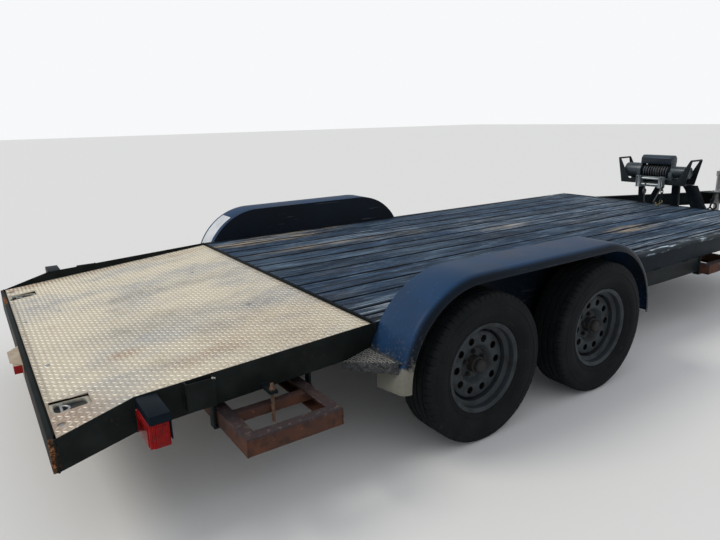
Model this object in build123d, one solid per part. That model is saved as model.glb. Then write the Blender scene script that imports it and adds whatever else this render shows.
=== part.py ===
from build123d import *
import os
from math import asin, atan2, cos, degrees, hypot, radians, sin, sqrt, tan

# Tandem axle car trailer with a planked deck, a tread plate dovetail and a winch on its front end.
# Millimetres. X runs forwards, Y to the left, Z up. While it is drawn, X = 0 is midway between
# the axles; every piece is then moved back so that the origin lies under the middle of the whole.

# Frame
FRAME_HALF_WIDTH = 1041.0
DECK_Z = 580.0
DECK_REAR_X = -837.0
DECK_FRONT_X = 3190.0
RAIL_DEPTH = 127.0
RAIL_FLANGE = 44.0
RAIL_WEB = 5.0
RAIL_FLANGE_THICKNESS = 8.0
SUBRAIL_DEPTH = 102.0
SUBRAIL_FLANGE = 40.0
SUBRAIL_INSET = 7.0
SUBRAIL_FRONT_X = 1893.0
CROSSMEMBER_DEPTH = 76.0
CROSSMEMBER_FLANGE = 36.0
CROSSMEMBER_WALL = 5.0
CROSSMEMBERS_BEHIND_RAMP = 8
CROSSMEMBERS_AHEAD_OF_RAMP = 1
NOSING_THICKNESS = 6.0
NOSING_DEPTH = 83.0
NOSING_LEDGE = 50.0
PLANK_THICKNESS = 38.0
PLANK_END_GAP = 3.0

# Deck planks from left to right: the width that each takes up, and the gap within that width
PLANKS = (
    (182.0, 7.0), (183.0, 13.0), (155.0, 8.0), (155.0, 13.0), (161.0, 12.0), (142.0, 8.0),
    (174.0, 14.0), (185.0, 8.0), (185.0, 11.0), (158.0, 12.0), (162.0, 7.0), (95.0, 10.0), (57.0, 6.0),
)

# Dovetail
DOVETAIL_REAR_X = -2080.0
DOVETAIL_BEND_X = -1830.0
DOVETAIL_BEND_Z = 534.0
DOVETAIL_REAR_Z = 463.0
REAR_CHANNEL_DEPTH = 117.0
REAR_CHANNEL_WEB = 17.0
PLATE_THICKNESS = 5.0
PLATE_JOINT_Z = 567.0
PLATE_REAR_Z = 461.0
PLATE_END_INSET = 8.0
DOVETAIL_MEMBER_DEPTH = 60.0
DOVETAIL_LAST_MEMBER_X = -1880.0
PAN_X = -1998.0
PAN_INSET = 229.0
PAN_LENGTH = 132.0
PAN_WIDTH = 92.0
PAN_DEPTH = 22.0
PAN_WALL = 3.0
PAN_SINK = 1.0
TIE_RING_RADIUS = 26.0
TIE_RING_BAR_RADIUS = 5.0
TIE_RING_SETBACK = 30.0
TIE_RING_LIFT = 5.5
TIE_EAR_THICKNESS = 7.0
TIE_EAR_GAP = 1.5
PLUG_HOLE_RADIUS = 13.0
PLUG_HOLE_OFFSET_X = 47.0
PLUG_HOLE_OFFSET_Y = 135.0

# Running gear
AXLE_SPACING = 838.0
TYRE_RADIUS = 344.0
TYRE_WIDTH = 205.0
TYRE_WALL = 13.0
TYRE_SHOULDER_DROP = 14.0
TYRE_SHOULDER_INSET = 10.0
TREAD_INSET = 24.0
TREAD_EDGE_DROP = 5.0
TREAD_EDGE_WIDTH = 8.0
BEAD_WALL = 15.0
WHEEL_OUTSET = 165.5
RIM_WIDTH = 150.0
RIM_FLANGE_RADIUS = 208.0
RIM_FLANGE_LENGTH = 8.0
RIM_FLANGE_CURL = 3.0
RIM_SEAT_RADIUS = 190.0
RIM_SEAT_WIDTH = 22.0
RIM_WELL_RADIUS = 172.0
RIM_WELL_WIDTH = 40.0
RIM_OUTER_SLOPE = 12.0
RIM_INNER_SLOPE = 18.0
RIM_WALL = 4.0
DISC_BORE_RADIUS = 42.0
DISC_SEAT_RADIUS = 72.0
DISC_CROWN_RADIUS = 96.0
DISC_CROWN_EDGE_RADIUS = 108.0
DISC_CROWN_RISE = 16.0
DISC_RING_RADIUS = 150.0
DISC_RING_SET = 4.0
DISC_HOLE_RADIUS = 18.0
DISC_HOLE_CIRCLE_RADIUS = 131.0
DISC_HOLE_COUNT = 10
HUB_BARREL_RADIUS = 38.0
HUB_BARREL_LENGTH = 60.0
HUB_FLANGE_RADIUS = 72.0
HUB_FLANGE_THICKNESS = 10.0
HUB_REACH = 34.0
HUB_CAP_WALL = 12.0
GREASE_CAP_RADIUS = 31.0
GREASE_CAP_REACH = 26.0
GREASE_CAP_SLOPE = 8.0
DRUM_RADIUS = 140.0
DRUM_DEPTH = 88.0
DRUM_WALL = 8.0
DRUM_SHOULDER = 6.0
BACKING_PLATE_RADIUS = 150.0
BACKING_PLATE_THICKNESS = 4.0
BACKING_PLATE_GAP = 4.0
SPINDLE_RADIUS = 19.0
SPINDLE_SHOULDER_RADIUS = 28.0
SPINDLE_END_GAP = 2.0
AXLE_TUBE_RADIUS = 30.0
DROP_ARM_THICKNESS = 20.0
DROP_ARM_HALF_WIDTH = 34.0
DROP_ARM_GAP = 4.0

# Leaf springs, hangers and equalizers
SPRING_INSET = 25.0
SPRING_WIDTH = 44.0
SPRING_HALF_LENGTH = 320.0
SPRING_ARCH = 24.0
LEAF_THICKNESS = 6.0
LEAF_LENGTH_SHARES = (1.0, 0.84, 0.64, 0.44)
SPRING_EYE_RADIUS = 15.0
SPRING_PIN_RADIUS = 8.0
SPRING_SEAT_HEIGHT = 6.0
SPRING_SEAT_HALF_LENGTH = 42.0
HANGER_DROP = 28.0
HANGER_PLATE = 5.0
HANGER_PLATE_GAP = 1.0
HANGER_HALF_LENGTH = 46.0
HANGER_TIP_RADIUS = 20.0
HANGER_BOLT_END = 5.0
CENTRE_HANGER_HALF_LENGTH = 31.0
CENTRE_HANGER_TIP_HALF_LENGTH = 18.6
CENTRE_HANGER_TIP_DROP = 18.0
EQUALIZER_HALF_LENGTH = 50.0
EQUALIZER_RADIUS = 15.0
EQUALIZER_DROP = 22.0
SHACKLE_THICKNESS = 6.0
SHACKLE_RADIUS = 12.0
SHACKLE_BOLT_END = 5.0
U_BOLT_RADIUS = 6.0
U_BOLT_STICK_OUT = 14.0
CLAMP_PLATE_THICKNESS = 8.0
CLAMP_PLATE_MARGIN = 8.0
CLAMP_PLATE_GAP = 1.2

# Fenders and side steps
FENDER_END_GAP = 113.0
FENDER_CROWN_GAP = 92.0
FENDER_ROUND_GAP = 76.0
FENDER_BOTTOM_Z = 318.0
FENDER_OUTER_BOTTOM_Z = 343.0
FENDER_WIDTH = 247.0
FENDER_SHEET = 3.0
FENDER_ROLL_RADIUS = 36.0
FENDER_LIP_DEPTH = 40.0
FENDER_NOTCH_WIDTH = 62.0
FENDER_NOTCH_TOP_Z = 400.0
FENDER_LEFT_AHEAD = 55.0
STEP_TIP_Z = 441.0
STEP_ROOT_Z = 476.0
STEP_LENGTH = 150.0
STEP_REACH = 220.0
STEP_TIP_LIP = 30.0
STEP_ROOT_LIP = 52.0
STEP_THICKNESS = 4.0
POCKET_X = -1613.0
POCKET_WIDTH = 104.0
POCKET_HEIGHT = 108.0
POCKET_DEPTH = 32.0
POCKET_WALL = 5.0

# Tongue, coupler and jack
COUPLER_FRONT_X = 4690.0
COUPLER_NOSE = 145.0
COUPLER_LAP = 120.0
COUPLER_DEPTH = 118.0
COUPLER_WALL = 5.0
COUPLER_TOP_RISE = 8.0
COUPLER_FIT = 1.0
COUPLER_STOP = 4.0
BALL_SOCKET_RADIUS = 30.0
BALL_SOCKET_WALL = 9.0
BALL_SOCKET_SKIRT = 34.0
LATCH_PIVOT_SETBACK = 72.0
LATCH_PIVOT_RISE = 14.0
LATCH_PIN_RADIUS = 5.0
LATCH_LUG_HALF_LENGTH = 8.0
LATCH_LUG_HALF_WIDTH = 14.0
LATCH_LUG_HEIGHT = 26.0
LATCH_CHEEK_INNER_Y = 15.0
LATCH_CHEEK_OUTER_Y = 20.0
LATCH_CHEEK_SETBACK = 10.0
LATCH_LEVER_GAP = 5.0
LATCH_LEVER_START = 22.0
LATCH_LEVER_LENGTH = 62.0
LATCH_LEVER_THICKNESS = 5.0
TONGUE_HALF_ANGLE = 25.0
TONGUE_FRONT_GAP = 34.0
TONGUE_MIDDLE_GAP = 2.0
TONGUE_PLATE_THICKNESS = 8.0
JACK_PLATE_BEHIND = 110.0
JACK_PLATE_AHEAD = 70.0
JOINT_PLATE_LENGTH = 190.0
JOINT_PLATE_MARGIN = 30.0
JOINT_PLATE_REAR_WIDTH = 220.0
JOINT_PLATE_FRONT_WIDTH = 110.0
JACK_SETBACK = 345.0
JACK_TUBE_RADIUS = 28.0
JACK_TUBE_WALL = 3.0
JACK_TUBE_BOTTOM_Z = 215.0
JACK_TUBE_TOP_Z = 800.0
JACK_CAP_THICKNESS = 10.0
JACK_HEAD_WALL = 8.0
JACK_HEAD_HEIGHT = 50.0
JACK_HEAD_RISE = 4.0
JACK_FLANGE_RADIUS = 66.0
JACK_FLANGE_THICKNESS = 8.0
JACK_LEG_RADIUS = 24.0
JACK_LEG_WALL = 3.0
JACK_LEG_PLUG = 40.0
JACK_LEG_TOP_Z = 600.0
JACK_FOOT_SIDE = 150.0
JACK_FOOT_THICKNESS = 6.0
JACK_CRANK_REACH = 165.0
JACK_CRANK_SHAFT_RADIUS = 9.0
JACK_CRANK_SHAFT_HEIGHT = 26.0
JACK_CRANK_ARM_THICKNESS = 8.0
JACK_GRIP_RADIUS = 12.0
JACK_GRIP_LENGTH = 84.0

# Lamps
HOOD_REAR_X = -1829.0
HOOD_LENGTH = 70.0
HOOD_TOP_Z = 532.0
HOOD_REACH = 170.0
HOOD_SHEET = 4.0
HOOD_LIP = 30.0
HOOD_PLATE_DEPTH = 96.0
LAMP_WIDTH = 156.0
LAMP_HEIGHT = 116.0
LAMP_EDGE_RADIUS = 6.0
CENTRE_LAMP_Y = -157.0
CENTRE_LAMP_DROP = 8.0
CENTRE_LAMP_REACH = 46.0
CENTRE_LAMP_ROOT_WIDTH = 258.0
CENTRE_LAMP_END_WIDTH = 140.0
CENTRE_LAMP_SHEET = 4.0
CENTRE_LAMP_BACK_DEPTH = 60.0
CENTRE_LAMP_LENS_INSET = 12.0
CENTRE_LAMP_LENS_WIDTH = 60.0
CENTRE_LAMP_LENS_DEPTH = 32.0
CENTRE_LAMP_LENS_HEIGHT = 36.0

# Loading ramps in their carriers
RAMP_LENGTH = 1524.0
RAMP_WIDTH = 380.0
RAMP_DEPTH = 67.0
RAMP_WALL = 6.0
RAMP_RAIL_FLANGE = 46.0
RAMP_TOP_Z = 398.0
RAMP_RUNG_COUNT = 6
RAMP_RUNG_SIDE = 38.0
RAMP_FIRST_RUNG = 201.0
RAMP_REAR_X = -1361.0
RAMP_REAR_OVERHANG = 259.0
RAMP_FRONT_X = 2118.0
RAMP_FRONT_OVERHANG = 54.0
CARRIER_BAR = 8.0
CARRIER_BAR_WIDTH = 40.0
CARRIER_INNER_INSET = 125.0
CARRIER_SIDE_GAP = 8.0
RAMP_PIN_RADIUS = 7.0
RAMP_PIN_GAP = 6.0
RAMP_PIN_BOTTOM_Z = 318.0
RAMP_PIN_TOP_Z = 478.0
RAMP_PIN_LIFT = 110.0
RAMP_PIN_HEAD_RADIUS = 12.0
RAMP_PIN_HEAD_THICKNESS = 8.0
PIN_BRACKET_Z = 440.0
PIN_BRACKET_THICKNESS = 12.0
PIN_BRACKET_HALF_WIDTH = 16.0

# Winch on the deck's front end
WINCH_SETBACK = 55.0
WINCH_Z = 885.0
WINCH_DRUM_RADIUS = 38.0
WINCH_DRUM_WIDTH = 264.0
WINCH_DRUM_FLANGE = 5.0
WINCH_FLANGE_RADIUS = 61.0
WINCH_SHAFT_RADIUS = 16.0
WINCH_SHAFT_LENGTH = 16.0
WINCH_ROPE_RADIUS = 55.0
WINCH_ROPE_TURNS = 14
WINCH_ROPE_DIP = 4.0
WINCH_ROPE_DIP_WIDTH = 6.0
GEAR_HOUSING_RADIUS = 66.0
MOTOR_RADIUS = 50.0
WINCH_HALF_WIDTH = 290.0
WINCH_FOOT_WIDTH = 30.0
WINCH_FOOT_HALF_LENGTH = 66.0
WINCH_SIDE_WIDTH = 12.0
WINCH_SIDE_HALF_LENGTH = 35.0
WINCH_TIE_RADIUS = 9.0
WINCH_TIE_OFFSET = 56.0
WINCH_TIE_DROP = 62.0
WINCH_BOX_WIDTH = 280.0
WINCH_BOX_DEPTH = 104.0
WINCH_BOX_TOP_Z = 1030.0
WINCH_BOX_HEIGHT = 78.0
WINCH_BOX_CHAMFER = 24.0
TRAY_Z = 775.0
TRAY_THICKNESS = 6.0
TRAY_LIP = 40.0
TRAY_HALF_WIDTH = 300.0
TRAY_DEPTH = 176.0
STAND_LEG_THICKNESS = 32.0
STAND_LEG_INSET = 4.0
ARM_ROOT_INNER_Y = 205.0
ARM_ROOT_OUTER_Y = 299.0
ARM_TOP_Y = 335.0
ARM_TOP_HALF_WIDTH = 10.0
HANDLE_Z = 995.0
HANDLE_RADIUS = 8.0

# Stand legs: Y at the tray, Y at the deck, and width
STAND_LEGS = ((-166.0, -172.0, 64.0), (160.0, 150.0, 50.0), (-24.0, 66.0, 52.0), (-260.0, -415.0, 74.0))

FAIRLEAD_Z = 797.0
FAIRLEAD_HALF_LENGTH = 125.0
FAIRLEAD_HALF_HEIGHT = 46.0
FAIRLEAD_HALF_MOUTH = 80.0
FAIRLEAD_PLATE = 6.0
FAIRLEAD_REACH = 54.0
FAIRLEAD_CHEEK_WIDTH = 42.0
FAIRLEAD_CAP = 4.0
FAIRLEAD_ROLLER_RADIUS = 11.0
FAIRLEAD_ROLLER_X = 18.0
FAIRLEAD_ROLLER_Z = 27.0
FAIRLEAD_POST_RADIUS = 12.0
FAIRLEAD_POST_X = 42.0
FAIRLEAD_POST_Y = 98.0
ROPE_RADIUS = 4.0
ROPE_Y = 40.0
ROPE_INSIDE = 44.0
HOOK_RING_DROP = 90.0
HOOK_RING_RADIUS = 22.0
HOOK_RING_BAR_RADIUS = 6.0

# Clearances
RUNNING_CLEARANCE = 0.3
SLIDE_CLEARANCE = 2.0
EDGE_GAP = 1.0

HUB_FACE_Y = FRAME_HALF_WIDTH + WHEEL_OUTSET
SPRING_Y = FRAME_HALF_WIDTH - SPRING_INSET
PAN_Y = FRAME_HALF_WIDTH - PAN_INSET
FRAME_BOTTOM_Z = DECK_Z - RAIL_DEPTH
SUBRAIL_BOTTOM_Z = FRAME_BOTTOM_Z - SUBRAIL_DEPTH
SPRING_EYE_Z = SUBRAIL_BOTTOM_Z - HANGER_DROP
SPRING_PACK = len(LEAF_LENGTH_SHARES) * LEAF_THICKNESS
SPRING_LOW_Z = SPRING_EYE_Z - SPRING_ARCH - SPRING_PACK + LEAF_THICKNESS / 2
AXLE_TUBE_Z = SPRING_LOW_Z - RUNNING_CLEARANCE - SPRING_SEAT_HEIGHT - AXLE_TUBE_RADIUS
AXLE_XS = {"front": AXLE_SPACING / 2, "rear": -AXLE_SPACING / 2}
FENDER_OUTER_Y = FRAME_HALF_WIDTH + FENDER_WIDTH
FENDER_HALF_LENGTH = AXLE_SPACING / 2 + TYRE_RADIUS + FENDER_END_GAP
FENDER_TOP_Z = 2 * TYRE_RADIUS + FENDER_CROWN_GAP
FENDER_CORNER_RADIUS = TYRE_RADIUS + FENDER_ROUND_GAP
REAR_FACE_X = DOVETAIL_REAR_X - REAR_CHANNEL_WEB
REAR_X = REAR_FACE_X - CENTRE_LAMP_REACH
ORIGIN_X = (REAR_X + COUPLER_FRONT_X) / 2
PLATE_SLOPE = atan2(PLATE_JOINT_Z - PLATE_REAR_Z, DECK_REAR_X - DOVETAIL_REAR_X)
TIE_RING_X = PAN_X - TIE_RING_SETBACK
TONGUE_FRONT_X = COUPLER_FRONT_X - COUPLER_NOSE
BALL_X = COUPLER_FRONT_X - BALL_SOCKET_RADIUS - BALL_SOCKET_WALL
COUPLER_BOTTOM_Z = DECK_Z - COUPLER_DEPTH
COUPLER_TOP_Z = DECK_Z + COUPLER_TOP_RISE
LATCH_X = BALL_X - LATCH_PIVOT_SETBACK
LATCH_Z = COUPLER_TOP_Z + LATCH_PIVOT_RISE
JACK_X = COUPLER_FRONT_X - JACK_SETBACK
RAMP_REAR_END_Y = -FRAME_HALF_WIDTH - RAMP_REAR_OVERHANG
RAMP_FRONT_END_Y = -FRAME_HALF_WIDTH - RAMP_FRONT_OVERHANG
CARRIER_HALF_WIDTH = RAMP_WIDTH / 2 + CARRIER_SIDE_GAP
WINCH_X = DECK_FRONT_X - WINCH_SETBACK
TRAY_REAR_X = WINCH_X - TRAY_DEPTH / 2
TRAY_FRONT_X = WINCH_X + TRAY_DEPTH / 2
WINCH_INNER_Y = WINCH_DRUM_WIDTH / 2 + SLIDE_CLEARANCE


def face_of(*points):
    """Flat face inside a closed run of straight edges."""
    return make_face(Polyline(*points, close=True))


def block(x0, x1, y0, y1, z0, z1):
    """Block between two corners."""
    corner = Pos((x0 + x1) / 2, (y0 + y1) / 2, (z0 + z1) / 2)
    return corner * Box(abs(x1 - x0), abs(y1 - y0), abs(z1 - z0))


def channel_face(depth, flange, web, flange_thickness):
    """Channel section with its web on u = 0, its flanges towards +u and its foot on v = 0."""
    return face_of((0, 0), (flange, 0), (flange, flange_thickness), (web, flange_thickness),
                   (web, depth - flange_thickness), (flange, depth - flange_thickness),
                   (flange, depth), (0, depth))


def along_x(face, x0, x1, y, z):
    """Section drawn as (towards +Y, up), run from x0 to x1."""
    start = Plane(origin=(x0, y, z), x_dir=(0, 1, 0), z_dir=(1, 0, 0))
    return extrude(start * face, x1 - x0)


def along_y(face, y0, y1, x, z):
    """Section drawn as (towards +X, up), run from y0 to y1."""
    start = Plane(origin=(x, y0, z), x_dir=(1, 0, 0), z_dir=(0, -1, 0))
    return extrude(start * face, y0 - y1)


def rod_y(radius, y0, y1, x, z):
    """Round bar along Y."""
    return along_y(Circle(radius), y0, y1, x, z)


def rod_z(radius, z0, z1, x, y):
    """Round bar along Z."""
    return Pos(x, y, z0) * extrude(Circle(radius), z1 - z0)


def other_side(part):
    """The same piece on the left, from the one drawn on the right."""
    return mirror(part, Plane.XZ)


def save(node, *solids):
    """Write one node, moved so that the origin lies under the middle of the trailer."""
    pieces = [solid for part in solids for solid in part.solids()]
    moved = [Pos(-ORIGIN_X, 0, 0) * piece for piece in pieces]
    whole = moved[0] if len(moved) == 1 else Compound(moved)
    export_step(whole, f"parts/{node}.step")


def dovetail_top_z(x):
    """Top of the dovetail's side rails."""
    if x > DOVETAIL_BEND_X:
        share = (x - DOVETAIL_BEND_X) / (DECK_REAR_X - DOVETAIL_BEND_X)
        return DOVETAIL_BEND_Z + share * (DECK_Z - DOVETAIL_BEND_Z)
    share = (x - DOVETAIL_REAR_X) / (DOVETAIL_BEND_X - DOVETAIL_REAR_X)
    return DOVETAIL_REAR_Z + share * (DOVETAIL_BEND_Z - DOVETAIL_REAR_Z)


def plate_top_z(x):
    """Top of the dovetail's tread plate."""
    share = (x - DOVETAIL_REAR_X) / (DECK_REAR_X - DOVETAIL_REAR_X)
    return PLATE_REAR_Z + share * (PLATE_JOINT_Z - PLATE_REAR_Z)


# Main frame

def main_rail():
    section = channel_face(RAIL_DEPTH, RAIL_FLANGE, RAIL_WEB, RAIL_FLANGE_THICKNESS)
    return along_x(section, DECK_REAR_X, DECK_FRONT_X, -FRAME_HALF_WIDTH, FRAME_BOTTOM_Z)


def subrail():
    section = channel_face(SUBRAIL_DEPTH, SUBRAIL_FLANGE, RAIL_WEB, RAIL_FLANGE_THICKNESS)
    rear_x = DECK_REAR_X + SUBRAIL_INSET
    return along_x(section, rear_x, SUBRAIL_FRONT_X, -FRAME_HALF_WIDTH, SUBRAIL_BOTTOM_Z)


def dovetail_rail():
    """Side rail of the dovetail: a bent web with a flange along its foot only."""
    xs = (DECK_REAR_X, DOVETAIL_BEND_X, DOVETAIL_REAR_X)
    depths = (RAIL_DEPTH, RAIL_DEPTH, REAR_CHANNEL_DEPTH)
    top = [(x, dovetail_top_z(x)) for x in xs]
    bottom = [(x, dovetail_top_z(x) - depth) for x, depth in zip(xs, depths)]
    outline = face_of(*top, *reversed(bottom))
    over_top = [(x, z + RAIL_FLANGE_THICKNESS) for x, z in top]
    over_foot = [(x, z + RAIL_FLANGE_THICKNESS) for x, z in bottom]
    open_side = face_of(*over_top, *reversed(over_foot))
    outer_y = -FRAME_HALF_WIDTH
    rail = along_y(outline, outer_y + RAIL_FLANGE, outer_y, 0, 0)
    return rail - along_y(open_side, outer_y + RAIL_FLANGE, outer_y + RAIL_WEB, 0, 0)


def end_channel(x, facing, depth, top_z, web, flange_z):
    """Channel across the frame; its web faces away from the deck and its flanges are coped."""
    flange_end = x - facing * (web + RAIL_FLANGE)
    web_inner = x - facing * web
    coped = FRAME_HALF_WIDTH - RAIL_FLANGE - EDGE_GAP
    low = top_z - depth
    wall = block(web_inner, x, -FRAME_HALF_WIDTH, FRAME_HALF_WIDTH, low, top_z)
    upper = block(flange_end, x, -coped, coped, flange_z - RAIL_FLANGE_THICKNESS, flange_z)
    lower = block(flange_end, x, -coped, coped, low, low + RAIL_FLANGE_THICKNESS)
    return wall + upper + lower


def rear_channel():
    """Channel across the dovetail's end, its upper flange under the plate and notched at the pans."""
    flange_z = plate_top_z(DOVETAIL_REAR_X) - PLATE_THICKNESS - RUNNING_CLEARANCE
    channel = end_channel(REAR_FACE_X, -1, REAR_CHANNEL_DEPTH, DOVETAIL_REAR_Z, REAR_CHANNEL_WEB,
                          flange_z)
    half = PAN_WIDTH / 2
    for side in (-1, 1):
        y = side * PAN_Y
        channel -= block(PAN_X - PAN_LENGTH / 2, PAN_X, y - half, y + half, flange_z - PAN_DEPTH, DECK_Z)
    return channel


def crossmembers():
    """Channels between the rail webs, their tops under the planks, and the deck's rear nosing."""
    section = channel_face(CROSSMEMBER_DEPTH, CROSSMEMBER_FLANGE, CROSSMEMBER_WALL, CROSSMEMBER_WALL)
    top_z = DECK_Z - PLANK_THICKNESS
    end_y = FRAME_HALF_WIDTH - RAIL_WEB
    pieces = []
    spacing = 2 * CARRIER_HALF_WIDTH + CROSSMEMBER_FLANGE
    for index in range(-CROSSMEMBERS_BEHIND_RAMP + 1, CROSSMEMBERS_AHEAD_OF_RAMP + 1):
        x = RAMP_FRONT_X + CARRIER_HALF_WIDTH + index * spacing
        pieces.append(along_y(section, end_y, -end_y, x, top_z - CROSSMEMBER_DEPTH))
    return pieces


def nosing():
    """Steel angle that closes the rear ends of the planks and carries the plate's front edge."""
    half = FRAME_HALF_WIDTH - RAIL_FLANGE - EDGE_GAP
    low = DECK_Z - NOSING_DEPTH
    ledge_x = DECK_REAR_X + NOSING_THICKNESS
    upright = block(DECK_REAR_X, ledge_x, -half, half, low, DECK_Z)
    ledge = block(ledge_x, ledge_x + NOSING_LEDGE, -half, half, low, DECK_Z - PLANK_THICKNESS)
    return upright + ledge


def dovetail_members():
    """Cross channels under the tread plate, square to its slope."""
    end_y = FRAME_HALF_WIDTH - RAIL_WEB
    section = channel_face(DOVETAIL_MEMBER_DEPTH, CROSSMEMBER_FLANGE, CROSSMEMBER_WALL,
                           CROSSMEMBER_WALL)
    pieces = []
    for x in (RAMP_REAR_X + CARRIER_HALF_WIDTH, RAMP_REAR_X,
              RAMP_REAR_X - CARRIER_HALF_WIDTH - CROSSMEMBER_FLANGE, DOVETAIL_LAST_MEMBER_X):
        top = plate_top_z(x) - PLATE_THICKNESS / cos(PLATE_SLOPE)
        start = Plane(origin=(x, end_y, top), x_dir=(cos(PLATE_SLOPE), 0, sin(PLATE_SLOPE)),
                      z_dir=(0, -1, 0))
        lowered = Pos(0, -DOVETAIL_MEMBER_DEPTH) * section
        pieces.append(extrude(start * lowered, 2 * end_y))
    return pieces


def planks():
    """Deck planks side by side between the rails' top flanges."""
    half = FRAME_HALF_WIDTH - RAIL_FLANGE
    scale = 2 * half / sum(width for width, _ in PLANKS)
    x0 = DECK_REAR_X + NOSING_THICKNESS + PLANK_END_GAP
    x1 = DECK_FRONT_X - RAIL_FLANGE - PLANK_END_GAP
    pieces = []
    left = half
    for width, gap in PLANKS:
        right = left - width * scale
        pieces.append(block(x0, x1, left - gap / 2, right + gap / 2, DECK_Z - PLANK_THICKNESS, DECK_Z))
        left = right
    return pieces


def tread_plate():
    """Sloping plate between the dovetail rails' webs, cut for the pans and their plugs."""
    x0 = DOVETAIL_REAR_X + PLATE_END_INSET
    x1 = DECK_REAR_X - EDGE_GAP
    wide = FRAME_HALF_WIDTH - RAIL_WEB - EDGE_GAP
    section = face_of((x0, plate_top_z(x0)), (x1, plate_top_z(x1)),
                      (x1, plate_top_z(x1) - PLATE_THICKNESS), (x0, plate_top_z(x0) - PLATE_THICKNESS))
    plate = along_y(section, wide, -wide, 0, 0)
    low = PLATE_REAR_Z - PAN_DEPTH
    for side in (-1, 1):
        plate -= block(PAN_X - PAN_LENGTH / 2, PAN_X + PAN_LENGTH / 2, side * PAN_Y - PAN_WIDTH / 2,
                       side * PAN_Y + PAN_WIDTH / 2, low, DECK_Z)
        plate -= rod_z(PLUG_HOLE_RADIUS, low, DECK_Z, PAN_X - PLUG_HOLE_OFFSET_X,
                       side * (PAN_Y + PLUG_HOLE_OFFSET_Y))
    return plate


def pan_top_z():
    return plate_top_z(PAN_X - PAN_LENGTH / 2) - PAN_SINK


def pan_floor_z():
    return pan_top_z() - PAN_DEPTH + PAN_WALL


def tie_ring_z():
    """Height of the bar that a tie-down ring turns on."""
    return pan_floor_z() + TIE_RING_BAR_RADIUS + TIE_RING_LIFT


def tie_pan(side):
    """Pressed pan let into the plate, with the two ears that hold its ring."""
    top = pan_top_z()
    floor = pan_floor_z()
    reach = PAN_LENGTH / 2 - RUNNING_CLEARANCE
    half = PAN_WIDTH / 2 - RUNNING_CLEARANCE
    y = side * PAN_Y
    pan = block(PAN_X - reach, PAN_X + reach, y - half, y + half, top - PAN_DEPTH, top)
    pan -= block(PAN_X - reach + PAN_WALL, PAN_X + reach - PAN_WALL, y - half + PAN_WALL,
                 y + half - PAN_WALL, floor, top)
    ear_start = TIE_RING_RADIUS + TIE_RING_BAR_RADIUS + TIE_EAR_GAP
    ear_end = ear_start + TIE_EAR_THICKNESS
    ear_half = 2 * TIE_RING_BAR_RADIUS
    ear_top = tie_ring_z() + TIE_RING_BAR_RADIUS + PAN_WALL
    for end in (-1, 1):
        pan += block(TIE_RING_X - ear_half, TIE_RING_X + ear_half, y + end * ear_start,
                     y + end * ear_end, floor, ear_top)
    bore = TIE_RING_BAR_RADIUS + RUNNING_CLEARANCE
    return pan - rod_y(bore, y + ear_end, y - ear_end, TIE_RING_X, tie_ring_z())


def tie_ring(side):
    """Ring of round bar that lies in its pan, with the straight bar that it turns on."""
    place = Pos(TIE_RING_X, side * PAN_Y, tie_ring_z())
    start = Plane(origin=(0, -TIE_RING_RADIUS, 0), x_dir=(0, 1, 0), z_dir=(1, 0, 0))
    bow = revolve(start * Circle(TIE_RING_BAR_RADIUS), Axis.Z, revolution_arc=180)
    reach = TIE_RING_RADIUS + TIE_RING_BAR_RADIUS + TIE_EAR_GAP + TIE_EAR_THICKNESS - EDGE_GAP
    return place * (bow + rod_y(TIE_RING_BAR_RADIUS, reach, -reach, 0, 0))


# Running gear, drawn on the right and mirrored to the left

def wheel_place(x):
    """Frame of a right wheel: its local +Z points outwards from the hub face."""
    return Pos(x, -HUB_FACE_Y, TYRE_RADIUS) * Rot(90, 0, 0)


def turned(face):
    """Section drawn as (radius, outwards), turned about the wheel's axis."""
    upright = Plane(origin=(0, 0, 0), x_dir=(1, 0, 0), z_dir=(0, -1, 0))
    return revolve(upright * face, Axis.Z)


def tyre_section():
    slack = RUNNING_CLEARANCE
    bead = RIM_SEAT_RADIUS + slack
    bead_z = RIM_WIDTH / 2 - RIM_FLANGE_LENGTH - 2 * slack
    lip_r = RIM_FLANGE_RADIUS + 2 * slack
    lip_z = RIM_WIDTH / 2 - 2 * slack
    bulge_r = (TYRE_RADIUS + RIM_SEAT_RADIUS) / 2
    bulge_z = TYRE_WIDTH / 2
    shoulder_r = TYRE_RADIUS - TYRE_SHOULDER_DROP
    shoulder_z = bulge_z - TYRE_SHOULDER_INSET
    tread_z = bulge_z - TREAD_INSET
    edge_r = TYRE_RADIUS - TREAD_EDGE_DROP
    edge_z = tread_z + TREAD_EDGE_WIDTH
    outer = [
        Line((bead, bead_z), (lip_r, lip_z)),
        ThreePointArc((lip_r, lip_z), (bulge_r, bulge_z), (shoulder_r, shoulder_z)),
        ThreePointArc((shoulder_r, shoulder_z), (edge_r, edge_z), (TYRE_RADIUS, tread_z)),
        Line((TYRE_RADIUS, tread_z), (TYRE_RADIUS, -tread_z)),
        ThreePointArc((TYRE_RADIUS, -tread_z), (edge_r, -edge_z), (shoulder_r, -shoulder_z)),
        ThreePointArc((shoulder_r, -shoulder_z), (bulge_r, -bulge_z), (lip_r, -lip_z)),
        Line((lip_r, -lip_z), (bead, -bead_z)),
    ]
    inside_z = bulge_z - TYRE_WALL
    crown_r = TYRE_RADIUS - TYRE_WALL
    crown_z = tread_z - TYRE_SHOULDER_INSET
    wall_z = bead_z - BEAD_WALL
    inner = [
        Line((bead, -bead_z), (bead, -wall_z)),
        ThreePointArc((bead, -wall_z), (bulge_r, -inside_z), (crown_r, -crown_z)),
        Line((crown_r, -crown_z), (crown_r, crown_z)),
        ThreePointArc((crown_r, crown_z), (bulge_r, inside_z), (bead, wall_z)),
        Line((bead, wall_z), (bead, bead_z)),
    ]
    return make_face(Wire(outer + inner))


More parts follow.
